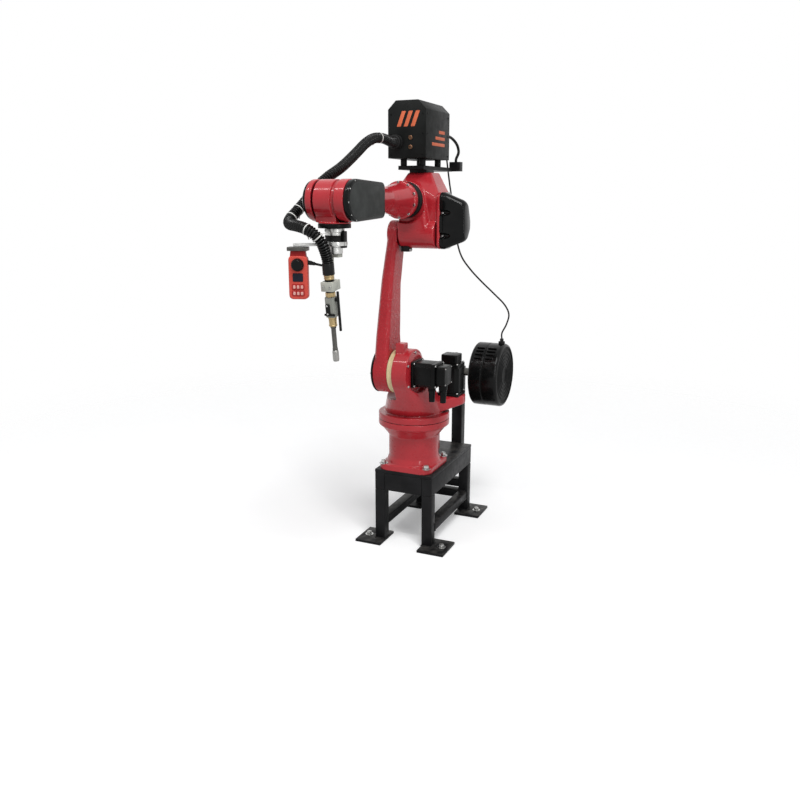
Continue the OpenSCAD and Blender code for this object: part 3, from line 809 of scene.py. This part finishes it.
def drum():
    """The closed wire drum: a seam round its side, a ringed face and louvres; side and rim are glossier."""
    low, middle, size = extent("wire_drum")
    radius, width = size.x / 2, size.y
    centre = Vector((middle.x, low.y, middle.z))
    seam = [(radius, width * 0.44), (radius - 3.5, width * 0.455), (radius - 3.5, width * 0.475),
            (radius, width * 0.49)]
    rim = [(radius, width - 12), (radius - 4, width - 4), (radius - 12, width), (radius - 20, width),
           (radius - 24, width - 4), (radius - DRUM_RINGS_IN, width - 4)]
    profile = [(0, 0), (radius - 6, 0), (radius, 6)] + seam + rim
    ring = radius - DRUM_RINGS_IN
    while ring > DRUM_HUB:
        profile += [(ring - 4, width - 2), (ring - 9, width - 2), (ring - 12, width - 4.5)]
        ring -= DRUM_RING_STEP
        profile.append((ring, width - 4.5))
    profile += [(ring - 4, width - 7), (0, width - 7)]
    part = gather((lathe(profile, 1.5, 112), place_on(centre, Y_AXIS)))
    for row in range(LOUVRE_ROWS):
        angle = math.radians(LOUVRE_FROM + row * LOUVRE_STEP)
        out = Vector((math.cos(angle), 0, math.sin(angle)))
        for start, span in LOUVRE_SPANS:
            spot = centre + out * (radius - 1.5) * MM + Y_AXIS * width * (start + span / 2) * MM
            lip = prism(rectangle(9, width * span, 4), 8.5, 2.2)
            join(part, lip, Matrix.Translation(spot) @ basis(Y_AXIS.cross(out), Y_AXIS, out))
    for face in part.faces:
        out = face.calc_center_median() - centre
        face.material_index = int(math.hypot(out.x, out.z) > (radius - DRUM_RIM) * MM)
    return part


make("wire_drum_case", drum(), "stand", [DRUM_BLACK, DRUM_GLOSS], ["wire_drum"])
softened("drum_outlet", RUBBER, 1.0)


# Turret and motors

MOTOR_FLANGE = 12
MOTOR_BELL = 18
SWIVEL_MOTOR = (-105, 145)
SHOULDER_FACE = 66


def plug(reach, drop):
    """A round connector along local Z, with a ribbed nut and a cable gland."""
    nut = [(0, reach), (17.5, reach)]
    for k in range(4):
        nut += [(17.5, reach + 2 + k * 3), (16.2, reach + 3 + k * 3)]
    nut += [(15, reach + 15), (13, drop), (0, drop)]
    shell = lathe([(0, 0), (19, 0), (19, reach), (0, reach)], 2.0, 32)
    return gather((shell, HERE), (lathe(nut, 0.6, 32), HERE))


def motor(section, length, cap_section, cap_length):
    """A servo motor that stands on z = 0: flange, chamfered body, end bell and encoder cap."""
    flange = section + 8
    end = MOTOR_FLANGE + length
    chamfered = rounded([(x * section / 2, y * section / 2) for x, y in SQUARE], 16, True, 1)
    return gather(
        (prism(rectangle(flange, flange, 12), MOTOR_FLANGE, 1.5), HERE),
        (prism(chamfered, length - MOTOR_BELL, 1.2), shift(0, 0, MOTOR_FLANGE)),
        (prism(rectangle(section, section, 10), MOTOR_BELL, 1.5), shift(0, 0, end - MOTOR_BELL)),
        (prism(rectangle(cap_section, cap_section, 14), cap_length, 4.0), shift(0, 0, end)))


def corner_screws(half, height, radius):
    """Four screws at the corners of a square, at a height."""
    return gather(*((socket_screw(radius, radius * 1.1), shift(x * half, y * half, height))
                    for x, y in SIGNS))


def servo(node, origin, axis, sizes, plugs, plug_axis, plug_sizes, screws):
    """A motor on its mounting face, with plugs at distances along it and rows of corner screws."""
    place = place_on(origin, axis)
    shapes = [(motor(*sizes), place)]
    for along in plugs:
        shapes.append((plug(*plug_sizes), place_on(origin + axis * along * MM, plug_axis)))
    make(node + "_body", gather(*shapes), "turret", MOTOR_BLACK, [node])
    heads = gather(*((corner_screws(*row), place) for row in screws))
    make(node + "_screws", heads, "turret", STEEL)


def shoulder_bolts():
    face = SHOULDER + Y_AXIS * SHOULDER_FACE * MM
    return gather(*((socket_screw(5.5, 6), place_on(face + Vector((x, 0, z)) * MM, Y_AXIS))
                    for x, z in ring_of(6, 92, 0.5)))


def seal():
    """The cream ring between the turret and the lower arm, with a groove round it."""
    low, _, size = extent("shoulder_seal")
    radius, width = size.z / 2, size.y
    groove = radius - 1.2
    profile = [(0, 0), (radius - 1, 0), (radius, 1.5), (radius, width * 0.42), (groove, width * 0.46),
               (groove, width * 0.54), (radius, width * 0.58), (radius, width - 1.5), (radius - 1, width),
               (0, width)]
    return gather((lathe(profile, 0.6, 112), place_on(Vector((SHOULDER.x, low.y, SHOULDER.z)), Y_AXIS)))


casting("turret", RED, 3.2, 8, 0.4)
servo("shoulder_motor", Vector((SHOULDER.x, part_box("shoulder_motor")[0].y, SHOULDER.z)), Y_AXIS,
      sizes=(108, 98, 86, 43), plugs=(78, 131), plug_axis=-Z_AXIS, plug_sizes=(64, 124),
      screws=((50, 12, 4.5), (46, 110, 4.5), (35, 153, 3.0)))
servo("swivel_motor", at(*SWIVEL_MOTOR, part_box("swivel_motor")[0].z / MM), Z_AXIS,
      sizes=(100, 138, 80, 43), plugs=(34, 171), plug_axis=-X_AXIS, plug_sizes=(56, 84),
      screws=((46, 12, 4.5), (43, 150, 4.5)))
make("shoulder_bolts", shoulder_bolts(), "turret", STEEL)
make("shoulder_seal_ring", seal(), "turret", SEAL_CREAM, ["shoulder_seal"])


# Lower arm and elbow

def cap_disc(node, body, screw_radius):
    """A domed round cap that faces the far side, with six screws near its rim."""
    low, middle, size = extent(node)
    radius, width = size.z / 2, size.y
    place = place_on(Vector((middle.x, low.y + width * MM, middle.z)), -Y_AXIS)
    disc = lathe([(0, 0), (radius, 0), (radius, width * 0.55), (radius - 8, width), (0, width)], 3.0, 72)
    make(node + "_disc", gather((disc, place)), body, GLOSS_BLACK, [node])
    heads = gather(*((socket_screw(screw_radius, 3), place @ shift(x, y, width))
                     for x, y in ring_of(6, radius - 13)))
    make(node + "_screws", heads, body, STEEL)


def loft(sections):
    """A closed skin through sections, each a list of the same number of places."""
    part = bmesh.new()
    rings = [[part.verts.new(place) for place in section] for section in sections]
    bridge(part, rings)
    part.faces.new(rings[0])
    part.faces.new(rings[-1])
    bmesh.ops.recalc_face_normals(part, faces=part.faces)
    return part


def spokes(outline, centre, count):
    """Where spokes from a centre, at even angles, meet a convex outline."""
    result = []
    for way_x, way_y in circle(1, count):
        for (ax, ay), (bx, by) in zip(outline, outline[1:] + outline[:1]):
            ax, ay, bx, by = ax - centre[0], ay - centre[1], bx - centre[0], by - centre[1]
            bottom = way_x * (by - ay) - way_y * (bx - ax)
            if abs(bottom) < 1e-9:
                continue
            reach = (ax * (by - ay) - ay * (bx - ax)) / bottom
            along = (ax * way_y - ay * way_x) / bottom
            if reach > 0 and -1e-6 <= along <= 1 + 1e-6:
                result.append((way_x * reach, way_y * reach))
                break
    return result


COVER_CORNERS = ((-5, 1384), (99, 1384), (99, 1622), (-5, 1622))
COVER_END = ((-2, 1446), (82, 1420), (85, 1584), (-2, 1528))
COVER_MIDDLE = (47, 1495)
COVER_SEAT = 155
COVER_REACH = 106
COVER_STRAIGHT = 16
COVER_CORNER = 26
COVER_CORNER_GAIN = 6
COVER_ROUND = 17
COVER_SHRINK = 0.14
COVER_SIDES = 96
SMOOTH_COVER = 40
COVER_LEVELS = ((0, 0.985), (1.5, 1.0), (COVER_STRAIGHT, 1.0), (34, 1.0), (52, 1.0), (70, 1.0))
ROUND_STEPS = 12
SCOOP_LEVELS = (1441, 1537)
SCOOP_X = 101
SCOOP_HALVES = (17, 36, 14)
SCOOP_SCREW_X = 85


def cover_section(along, scale):
    """The cover's outline at a distance from its seat, shrunk round its middle by a scale."""
    t = max(0.0, (along - COVER_STRAIGHT) / (COVER_REACH - COVER_STRAIGHT))
    corner = COVER_CORNER + COVER_CORNER_GAIN * t
    circles = []
    for (sx, sz), (ex, ez) in zip(COVER_CORNERS, COVER_END):
        x, z = sx + (ex - sx) * t, sz + (ez - sz) * t
        x += corner if x < COVER_MIDDLE[0] else -corner
        z += corner if z < COVER_MIDDLE[1] else -corner
        circles.append((x, z, corner))
    return [at(COVER_MIDDLE[0] + x * scale, COVER_SEAT + along, COVER_MIDDLE[1] + z * scale)
            for x, z in spokes(belt(circles), COVER_MIDDLE, COVER_SIDES)]


def cut_scoop(piece, level):
    """Cuts one rounded scoop out of the cover's front edge."""
    scoop = bmesh.new()
    bmesh.ops.create_uvsphere(scoop, u_segments=32, v_segments=20, radius=1.0)
    stretch = Matrix.Diagonal((*(half * MM for half in SCOOP_HALVES), 1.0))
    scoop.transform(Matrix.Translation(at(SCOOP_X, COVER_SEAT + 16, level)) @ stretch)
    cutter = linked("scoop", mesh_of("scoop", scoop))
    cut = piece.modifiers.new("cut", "BOOLEAN")
    cut.operation = "DIFFERENCE"
    cut.object = cutter
    bpy.context.view_layer.update()
    applied(piece)
    bpy.data.objects.remove(cutter)


def elbow_cover():
    """The glossy motor cover: a rounded shell with two scoops for its screws."""
    sections = [cover_section(along, scale) for along, scale in COVER_LEVELS]
    for k in range(ROUND_STEPS):
        lean = math.radians(90 * k / (ROUND_STEPS - 0.5))
        along = COVER_REACH - COVER_ROUND * (1 - math.sin(lean))
        sections.append(cover_section(along, 1 - COVER_SHRINK + COVER_SHRINK * math.cos(lean)))
    shell = loft(sections)
    piece = make("elbow_cover_shell", shell, "elbow", GLOSS_BLACK, ["elbow_cover"])
    screws = bmesh.new()
    for level in SCOOP_LEVELS:
        cut_scoop(piece, level)
        join(screws, socket_screw(4.0, 3.0), place_on(at(SCOOP_SCREW_X, COVER_SEAT + 10, level), X_AXIS))
    smooth_shading(piece, SMOOTH_COVER)
    make("elbow_cover_screws", screws, "elbow", STEEL)


def stop_bolts():
    low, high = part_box("elbow_stop")
    part = bmesh.new()
    for share in (0.3, 0.72):
        spot = Vector((low.x + (high.x - low.x) * share, high.y, low.z + 8 * MM))
        join(part, socket_screw(5, 5), place_on(spot, Y_AXIS))
    return part


casting("lower_arm", RED_ROUGH, 2.4, 8, 0.5)
cap_disc("shoulder_cap", "lower_arm", 4)
casting("elbow", RED, 3.0, 7, 0.45)
elbow_cover()
softened("roll_ring", RUBBER, 1.0)
softened("elbow_stop", RUBBER, 1.5)
make("elbow_stop_bolts", stop_bolts(), body_of("elbow_stop"), STEEL)


# Feeder

FEEDER_LOW, FEEDER_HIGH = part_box("feeder_box")
FEEDER_SIZE = FEEDER_HIGH - FEEDER_LOW
SCREW_LEVELS = (0.06, 0.42, 0.76)
FILM = 0.5
FILM_EDGE = 0.1
FRONT_BAR = ((-46, 128), (-28, 128), (-4, 190), (-22, 190))
FRONT_BAR_STEP = 32
SIDE_BARS = (150, 110, 70)
SIDE_BAR_H = 13
SIDE_BAR_STEP = 26
SIDE_BAR_IN = 60
GLAND_TEETH = 26


def feeder_screws():
    """Small screws near the edges of the feeder's front and side."""
    part = bmesh.new()
    for share in SCREW_LEVELS:
        level = FEEDER_LOW.z + share * FEEDER_SIZE.z
        for across in (-0.42, 0.42):
            spot = Vector((FEEDER_HIGH.x, across * FEEDER_SIZE.y, level))
            join(part, socket_screw(3.4, 1.6, 16), place_on(spot, X_AXIS))
        for along in (0.06, 0.94):
            spot = Vector((FEEDER_LOW.x + along * FEEDER_SIZE.x, FEEDER_HIGH.y, level))
            join(part, socket_screw(3.4, 1.6, 16), place_on(spot, Y_AXIS))
    return part


def feeder_bars():
    """Generic orange film bars on the feeder's front and side."""
    part = bmesh.new()
    front = Matrix.Translation((FEEDER_HIGH.x, 0, FEEDER_LOW.z)) @ FRONT
    for k in range(3):
        outline = [(across + k * FRONT_BAR_STEP, level) for across, level in FRONT_BAR]
        join(part, prism(rounded(outline, 2, True), FILM, FILM_EDGE), front)
    side = Vector((FEEDER_LOW.x, FEEDER_HIGH.y, FEEDER_LOW.z))
    for k, width in enumerate(SIDE_BARS):
        spot = side + Vector((SIDE_BAR_IN + width / 2, 0, SIDE_BAR_IN + k * SIDE_BAR_STEP)) * MM
        film = prism(rectangle(width, SIDE_BAR_H, 3), FILM, FILM_EDGE)
        join(part, film, Matrix.Translation(spot) @ basis(-X_AXIS, Z_AXIS, Y_AXIS))
    return part


def feeder_gland():
    """The knurled nut where the hose leaves the feeder."""
    low, middle, size = extent("feeder_gland")
    centre = Vector((low.x, middle.y, middle.z))
    reach, radius = size.x, size.z / 2
    nut = [(0, 0), (radius, 0), (radius, 6), (radius - 3, 8), (radius - 3, reach - 3), (radius - 7, reach),
           (0, reach)]
    part = gather((lathe(nut, 1.0, 64), place_on(centre, X_AXIS)))
    for y, z in ring_of(GLAND_TEETH, radius - 3.4):
        tooth = lathe([(0, 0), (2.2, 0), (1.8, reach - 12), (0, reach - 12)], 0.3, 8)
        join(part, tooth, place_on(centre + Vector((8, y, z)) * MM, X_AXIS))
    return part


def feeder_sockets():
    """Two small gas and signal sockets on the feeder's front."""
    low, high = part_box("feeder_sockets")
    part = bmesh.new()
    for z in (low.z + 10 * MM, high.z - 9 * MM):
        ring = lathe([(0, 0), (9, 0), (9, 3), (7, 4), (7, 6), (4.5, 6), (4.5, 2), (0, 2)], 0.4, 32)
        join(part, ring, place_on(Vector((low.x, (low.y + high.y) / 2, z)), X_AXIS))
    return part


softened("feeder_box", SHEET_BLACK, 2.0)
softened("feeder_plate", STAND_BLACK, 1.5)
softened("feeder_feet", RUBBER, 1.5)
make("feeder_gland_nut", feeder_gland(), "elbow", RUBBER, ["feeder_gland"])
make("feeder_socket_rings", feeder_sockets(), "elbow", DULL_BRASS, ["feeder_sockets"])
softened("feeder_inlet", BRASS, 0.8)
make("feeder_screws", feeder_screws(), "elbow", MOTOR_BLACK)
make("feeder_bars", feeder_bars(), "elbow", ORANGE)


# Forearm and wrist

ROLL_FLANGE = 172.4
WRIST_RIM = ((0, 0, 74.5), (-206, 42, 24), (-206, -42, 24))
WRIST_FACE = ((0, 0, 64), (-204, 38, 17), (-204, -38, 17))
WRIST_PLATE = 2.4
WRIST_SCREW_R = 69.5
WRIST_SCREWS = (-75, -35, 5, 45, 80)


def flange_bolts():
    """The ring of screws where the forearm meets its roll bearing."""
    face = Vector((BASE_X + ROLL_FLANGE * MM, 0, ROLL.z))
    return gather(*((socket_screw(5.4, 6.0), place_on(face + Vector((0, y, z)) * MM, X_AXIS))
                    for y, z in ring_of(10, 73.5, 0.35)))


def wrist_cover():
    """The wrist's side cover: a glossy rim, a dull raised face and screws round its nose."""
    low, _, size = extent("wrist_cover")
    thick = size.y
    place = Matrix.Translation((WRIST.x, low.y, WRIST.z)) @ Matrix.Rotation(math.radians(-90), 4, "X")
    rim = gather((prism(belt(WRIST_RIM), thick - 1.2, 6.5, 1.0, 4), place))
    make("wrist_cover_rim", rim, "forearm", GLOSS_BLACK, ["wrist_cover"])
    face = gather((prism(belt(WRIST_FACE), WRIST_PLATE, 0.8), place @ shift(0, 0, thick - WRIST_PLATE)))
    make("wrist_cover_face", face, "forearm", COVER_GREY)
    screws = bmesh.new()
    for angle in map(math.radians, WRIST_SCREWS):
        spot = shift(WRIST_SCREW_R * math.cos(angle), WRIST_SCREW_R * math.sin(angle), thick - 3.2)
        join(screws, socket_screw(3.0, 2.0, 16), place @ spot)
    make("wrist_cover_screws", screws, "forearm", STEEL)


casting("forearm", RED, 2.6, 7, 0.45)
make("flange_bolts", flange_bolts(), "forearm", STEEL)
wrist_cover()
cap_disc("wrist_cap", "forearm", 3.5)
casting("wrist", RED, 1.8, 5, 0.6)


# Torch: levels run down from its top, along its own axis

TORCH_LEAN = math.atan(4 / 30)
TORCH_PLACE = Matrix.Translation(at(*HOSE_ROUTE[-1])) @ Matrix.Rotation(TORCH_LEAN, 4, "Y")
TORCH_RING = [(0, 0), (19, 0), (19, -6), (17.5, -8), (19, -10), (19, -16), (0, -16)]
TORCH_COLLAR = [(0, -157), (16, -157), (16, -164), (14.6, -165), (14.6, -186), (16, -187), (15, -192),
                (0, -192)]
TORCH_CORE = [(14, -24), (14, -58), (17, -59), (17, -63), (0, -63)]
TORCH_ROD = [(0, -209), (4.4, -209), (5, -205), (5, -62), (3, -60), (0, -60)]
TORCH_NECK = [(0, -192), (11, -192), (11, -199), (9, -201), (9, -276), (10, -278), (10, -286), (0, -286)]
TORCH_NOZZLE = [(9, -285), (11, -287), (12, -291), (12, -320), (10.6, -328), (9.2, -328), (9.2, -306),
                (0, -306)]
TORCH_CONTACT = [(0, -306), (3.2, -306), (3.2, -325), (2.4, -327), (0, -327)]


def ribs(top, low, outer, inner, count):
    """A profile of fine rings between two levels."""
    step = (low - top) / count
    profile = []
    for k in range(count):
        level = top + step * k
        profile += [(inner, level), (outer, level + step * 0.25)]
        profile += [(outer, level + step * 0.7), (inner, level + step * 0.9)]
    return profile


def on_torch(x, y, z):
    """A place in the torch's own millimetres."""
    return TORCH_PLACE @ shift(x, y, z)


def torch():
    """The torch in the order of its parts, down from the hose."""
    bright = gather(
        (lathe(TORCH_RING, 0.6, 40), TORCH_PLACE),
        (prism(circle(19, 6), 17, 1.2), on_torch(0, 0, -81)),
        (lathe(TORCH_COLLAR, 0.6, 40), TORCH_PLACE))
    make("torch_brass", bright, "tool", BRASS, ["torch_body"])
    core = [(0, -16)] + ribs(-16, -24, 16.6, 15, 3) + TORCH_CORE
    clip = on_torch(0, 24, -91) @ Matrix.Rotation(math.radians(90), 4, "X")
    dark = gather(
        (lathe(core, 0.6, 40), TORCH_PLACE),
        (lathe(TORCH_ROD, 0.5, 20), on_torch(0, 30, 0)),
        (prism(rectangle(12, 12, 2), 12, 1.0), clip @ shift(0, 0, -6)))
    make("torch_dark", dark, "tool", RUBBER)
    block = gather((prism(rectangle(34, 36, 5), 76, 2.2), on_torch(0, 0, -157)))
    make("torch_block", block, "tool", BLOCK_GREY)
    neck = gather((lathe(TORCH_NECK, 0.6, 40), TORCH_PLACE))
    make("torch_neck", neck, "tool", DARK_STEEL, ["torch_nozzle"])
    tip = gather((lathe(TORCH_NOZZLE, 0.5, 40), TORCH_PLACE), (lathe(TORCH_CONTACT, 0.3, 20), TORCH_PLACE))
    make("torch_tip", tip, "tool", TIP_STEEL)


def torch_clip():
    """The black toggle clip on the torch's grey block, with its pins."""
    clip = gather(
        (prism(rectangle(16, 44, 4), 7, 1.6), on_torch(16, -6, -128) @ FRONT),
        (prism(rectangle(44, 8, 2), 4, 1.0), on_torch(16, 0, -146) @ FRONT))
    make("torch_clip", clip, "tool", RUBBER)
    pin = [(0, -1), (3.2, -1), (3.2, 1.4), (2.4, 2.2), (0, 2.2)]
    pins = gather(*((lathe(pin, 0.3, 16), on_torch(23, -6, level) @ FRONT) for level in (-112, -142)))
    make("torch_clip_pins", pins, "tool", STEEL)


def clamp_screws():
    out = place_on((0, 0, 0), X_AXIS)
    return gather(*((socket_screw(4.0, 3.5), on_torch(24, y, -41) @ out) for y in (-14, 14)))


def hose_sleeve():
    """The smooth sleeve that grips the hose's end above the torch."""
    inner, outer = HOSE_D / 2 - 1, HOSE_D / 2 + 1.2
    profile = [(inner, 0.5), (outer, 0.5), (outer, 38), (inner, 44)]
    return gather((lathe(profile, 0.8, 40, True), TORCH_PLACE))


# Collision sensor

TOOL = AXIS["tool_roll"]
SENSOR_RING = 26
SENSOR_BAND_LOW = 46
SENSOR_BASE = [(0, 44), (31, 44), (33, 42), (33, 26), (29, 24), (29, 6), (27, 0), (0, 0)]


def sensor():
    """The collision sensor: bright ring with screws, black band, bright lower part."""
    low, _, size = extent("collision_sensor")
    height = size.z
    ring_low = height - SENSOR_RING
    place = Matrix.Translation((TOOL.x, TOOL.y, low.z))
    ring = [(0, height), (36, height), (36, height - 14), (34, height - 16), (34, ring_low), (0, ring_low)]
    bright = gather((lathe(ring, 0.8, 64), place), (lathe(SENSOR_BASE, 0.8, 64), place))
    rows = ((6, 35, 0.4, height - 8, (4.2, 3.0)), (4, 33, 0.1, 34, (3.4, 2.4)))
    for count, radius, start, level, head in rows:
        for x, y in ring_of(count, radius, start):
            join(bright, socket_screw(*head, 18), place @ shift(x, y, level) @ place_on((0, 0, 0), (x, y, 0)))
    make("sensor_metal", bright, "tool", STEEL, ["collision_sensor"])
    band = [(0, ring_low), (36, ring_low), (36, height - 32), (34.5, height - 33), (34.5, SENSOR_BAND_LOW),
            (0, SENSOR_BAND_LOW)]
    make("sensor_band", gather((lathe(band, 0.8, 64), place)), "tool", RUBBER)


def sensor_block():
    """The black cable block on the sensor's side."""
    middle = extent("collision_sensor")[1]
    spot = Vector((TOOL.x, TOOL.y + 30 * MM, middle.z + 6 * MM))
    place = Matrix.Translation(spot) @ basis(Z_AXIS, X_AXIS, Y_AXIS)
    return gather((prism(rectangle(60, 24, 4), 15, 2.0), place))


# Teach handle: levels run down from its top, lift is out of its middle plane

HANDLE_PLACE = Matrix.Translation(at(837, -100, 1398)) @ Matrix.Rotation(math.radians(18), 4, "Z")
HANDLE_W = 70
HANDLE_L = 156
HANDLE_HALF = 17
HANDLE_CORNER = 17
DIAL_LEVEL = -32
DIAL = [(0, -1), (23, -1), (23, 5), (21, 7), (20, 8), (19, 17), (17, 19), (0, 19)]
DIAL_RIB = [(0, 8), (1.7, 8), (1.5, 17), (0, 17)]
NECK = [(-29, -6), (29, -6), (25, 28), (-25, 28)]
PLUG_END = (799, -22, 1362)


def on_handle(across, level, lift=HANDLE_HALF):
    """A place on the handle's front face, with local Z out of it."""
    return HANDLE_PLACE @ shift(lift, across, level) @ FRONT


def handle_body():
    """The handle's moulded body, its darker neck and the clamp bar that hangs it from the bracket."""
    shell = prism(rectangle(HANDLE_W, HANDLE_L, HANDLE_CORNER), 2 * HANDLE_HALF, 6.0, 1.0, 4)
    body = gather((shell, on_handle(0, -HANDLE_L / 2, -HANDLE_HALF)))
    make("handle_body", body, "tool", HANDLE_RED, ["teach_handle"])
    neck = gather((prism(NECK, 28, 2.5), on_handle(0, 0, -14)))
    make("handle_neck", neck, "tool", HANDLE_DEEP)
    grip = gather((prism(rectangle(74, 14, 3), 44, 2.0), on_handle(0, 24, -22)))
    for across in (-24, 24):
        join(grip, socket_screw(4.0, 3.0), on_handle(across, 24, 22))
    make("handle_grip", grip, "tool", DARK_STEEL)


def handle_front():
    """The dial, display and keys of the teach handle."""
    middle = on_handle(0, DIAL_LEVEL)
    dial = gather((lathe(DIAL, 1.0, 64), middle))
    for x, y in ring_of(18, 19.2):
        join(dial, lathe(DIAL_RIB, 0.2, 8), middle @ shift(x, y, 0))
    make("handle_dial", dial, "tool", GLOSS_BLACK, ["handle_knob"])
    display = gather((prism(rectangle(38, 30, 4), 1.4, 0.6), on_handle(0, -77)))
    make("handle_display", display, "tool", SCREEN)
    panels = bmesh.new()
    keys = bmesh.new()
    for level in (-111, -134):
        join(panels, prism(rectangle(46, 20, 5), 1.2, 0.5), on_handle(0, level))
        for across in (-14, 0, 14):
            join(keys, prism(rectangle(9, 12, 3), 2.6, 0.8), on_handle(across, level))
    make("handle_panels", panels, "tool", HANDLE_DEEP)
    make("handle_keys", keys, "tool", KEY_PINK)


def handle_plug():
    """The moulded plug between the handle's side and the hose sleeve."""
    start = on_handle(34, -24, 0).translation
    way = at(*PLUG_END) - start
    reach = way.length / MM
    profile = [(0, -2), (8, -2), (8, 14), (6.5, 16), (6.5, 24), (4.5, 28), (4.0, reach), (0, reach)]
    return gather((lathe(profile, 0.8, 24), place_on(start, way)))


softened("tool_plate", MOTOR_BLACK, 1.2)
sensor()
softened("torch_clamp", CLAMP_GREY, 1.2)
make("clamp_screws", clamp_screws(), "tool", STEEL)
torch()
softened("handle_bracket", STEEL, 1.0)
handle_body()
handle_front()
make("handle_plug", handle_plug(), "tool", RUBBER)
make("hose_sleeve", hose_sleeve(), "tool", HOSE_BLACK)
torch_clip()
make("sensor_block", sensor_block(), "tool", MOTOR_BLACK)


# Studio

FLOOR_CLEAR = 1.6
FLOOR_GONE = 4.2
FLOOR_LIFT = 0.24
FLOOR_HALF = 9


def floor():
    """A pale floor that keeps the shadow and fades into the white background."""
    mesh = bpy.data.meshes.new("floor")
    mesh.from_pydata([(x * FLOOR_HALF, y * FLOOR_HALF, 0) for x, y in SQUARE], [], [(0, 1, 2, 3)])
    piece = linked("floor", mesh)
    look = Look("floor")
    look.colour(look.mix(look.noise(1.5, 3.0), (0.87, 0.87, 0.87), (0.90, 0.90, 0.90)))
    look.put(Roughness=0.9, Specular_IOR_Level=0.1, Emission_Color=(1, 1, 1, 1))
    rays = look.node("LightPath")
    lift = look.remap(rays.outputs["Is Camera Ray"], 0, 1, 0, FLOOR_LIFT)
    look.link(lift, look.shader.inputs["Emission Strength"])
    distance = look.node("VectorMath")
    distance.operation = "LENGTH"
    look.link(look.coords.outputs["Object"], distance.inputs[0])
    fade = look.remap(distance.outputs["Value"], FLOOR_CLEAR, FLOOR_GONE, 0.0, 1.0)
    clear = look.node("BsdfTransparent")
    blend = look.node("MixShader")
    look.link(fade, blend.inputs["Fac"])
    look.link(look.shader.outputs["BSDF"], blend.inputs[1])
    look.link(clear.outputs["BSDF"], blend.inputs[2])
    look.link(blend.outputs["Shader"], look.tree.nodes["Material Output"].inputs["Surface"])
    mesh.materials.append(look.material)


def world(ambient_strength):
    """White where it is seen, and a soft ambient light elsewhere."""
    studio = bpy.data.worlds.new("studio")
    bpy.context.scene.world = studio
    studio.use_nodes = True
    tree = studio.node_tree
    ambient = tree.nodes["Background"]
    ambient.inputs["Color"].default_value = (0.97, 0.98, 1.0, 1.0)
    ambient.inputs["Strength"].default_value = ambient_strength
    white = tree.nodes.new("ShaderNodeBackground")
    white.inputs["Color"].default_value = (1, 1, 1, 1)
    white.inputs["Strength"].default_value = 1.0
    rays = tree.nodes.new("ShaderNodeLightPath")
    seen = rays.outputs["Is Camera Ray"]
    for ray in ("Is Glossy Ray", "Is Transmission Ray"):
        either = tree.nodes.new("ShaderNodeMath")
        either.operation = "MAXIMUM"
        tree.links.new(seen, either.inputs[0])
        tree.links.new(rays.outputs[ray], either.inputs[1])
        seen = either.outputs["Value"]
    choose = tree.nodes.new("ShaderNodeMixShader")
    tree.links.new(seen, choose.inputs["Fac"])
    tree.links.new(ambient.outputs["Background"], choose.inputs[1])
    tree.links.new(white.outputs["Background"], choose.inputs[2])
    tree.links.new(choose.outputs["Shader"], tree.nodes["World Output"].inputs["Surface"])


def area_light(name, place, target, size, power):
    data = bpy.data.lights.new(name, "AREA")
    data.shape = "RECTANGLE"
    data.size, data.size_y = size
    data.energy = power
    lamp = linked(name, data)
    lamp.location = place
    lamp.rotation_euler = facing(Vector(target) - Vector(place))


def sun(direction, strength, softness):
    data = bpy.data.lights.new("sun", "SUN")
    data.energy = strength
    data.angle = math.radians(softness)
    linked("sun", data).rotation_euler = facing(direction)


floor()
world(0.36)
sun((-0.40, -0.34, -0.85), 1.55, 24)
area_light("overhead_strip", (1.8, 0.0, 3.4), (0.89, 0, 1.6), (3.2, 0.07), 30)
area_light("side_strip", (2.2, 2.4, 1.9), (0.2, 0, 1.2), (0.12, 2.2), 14)
bpy.context.scene.view_settings.view_transform = "Standard"
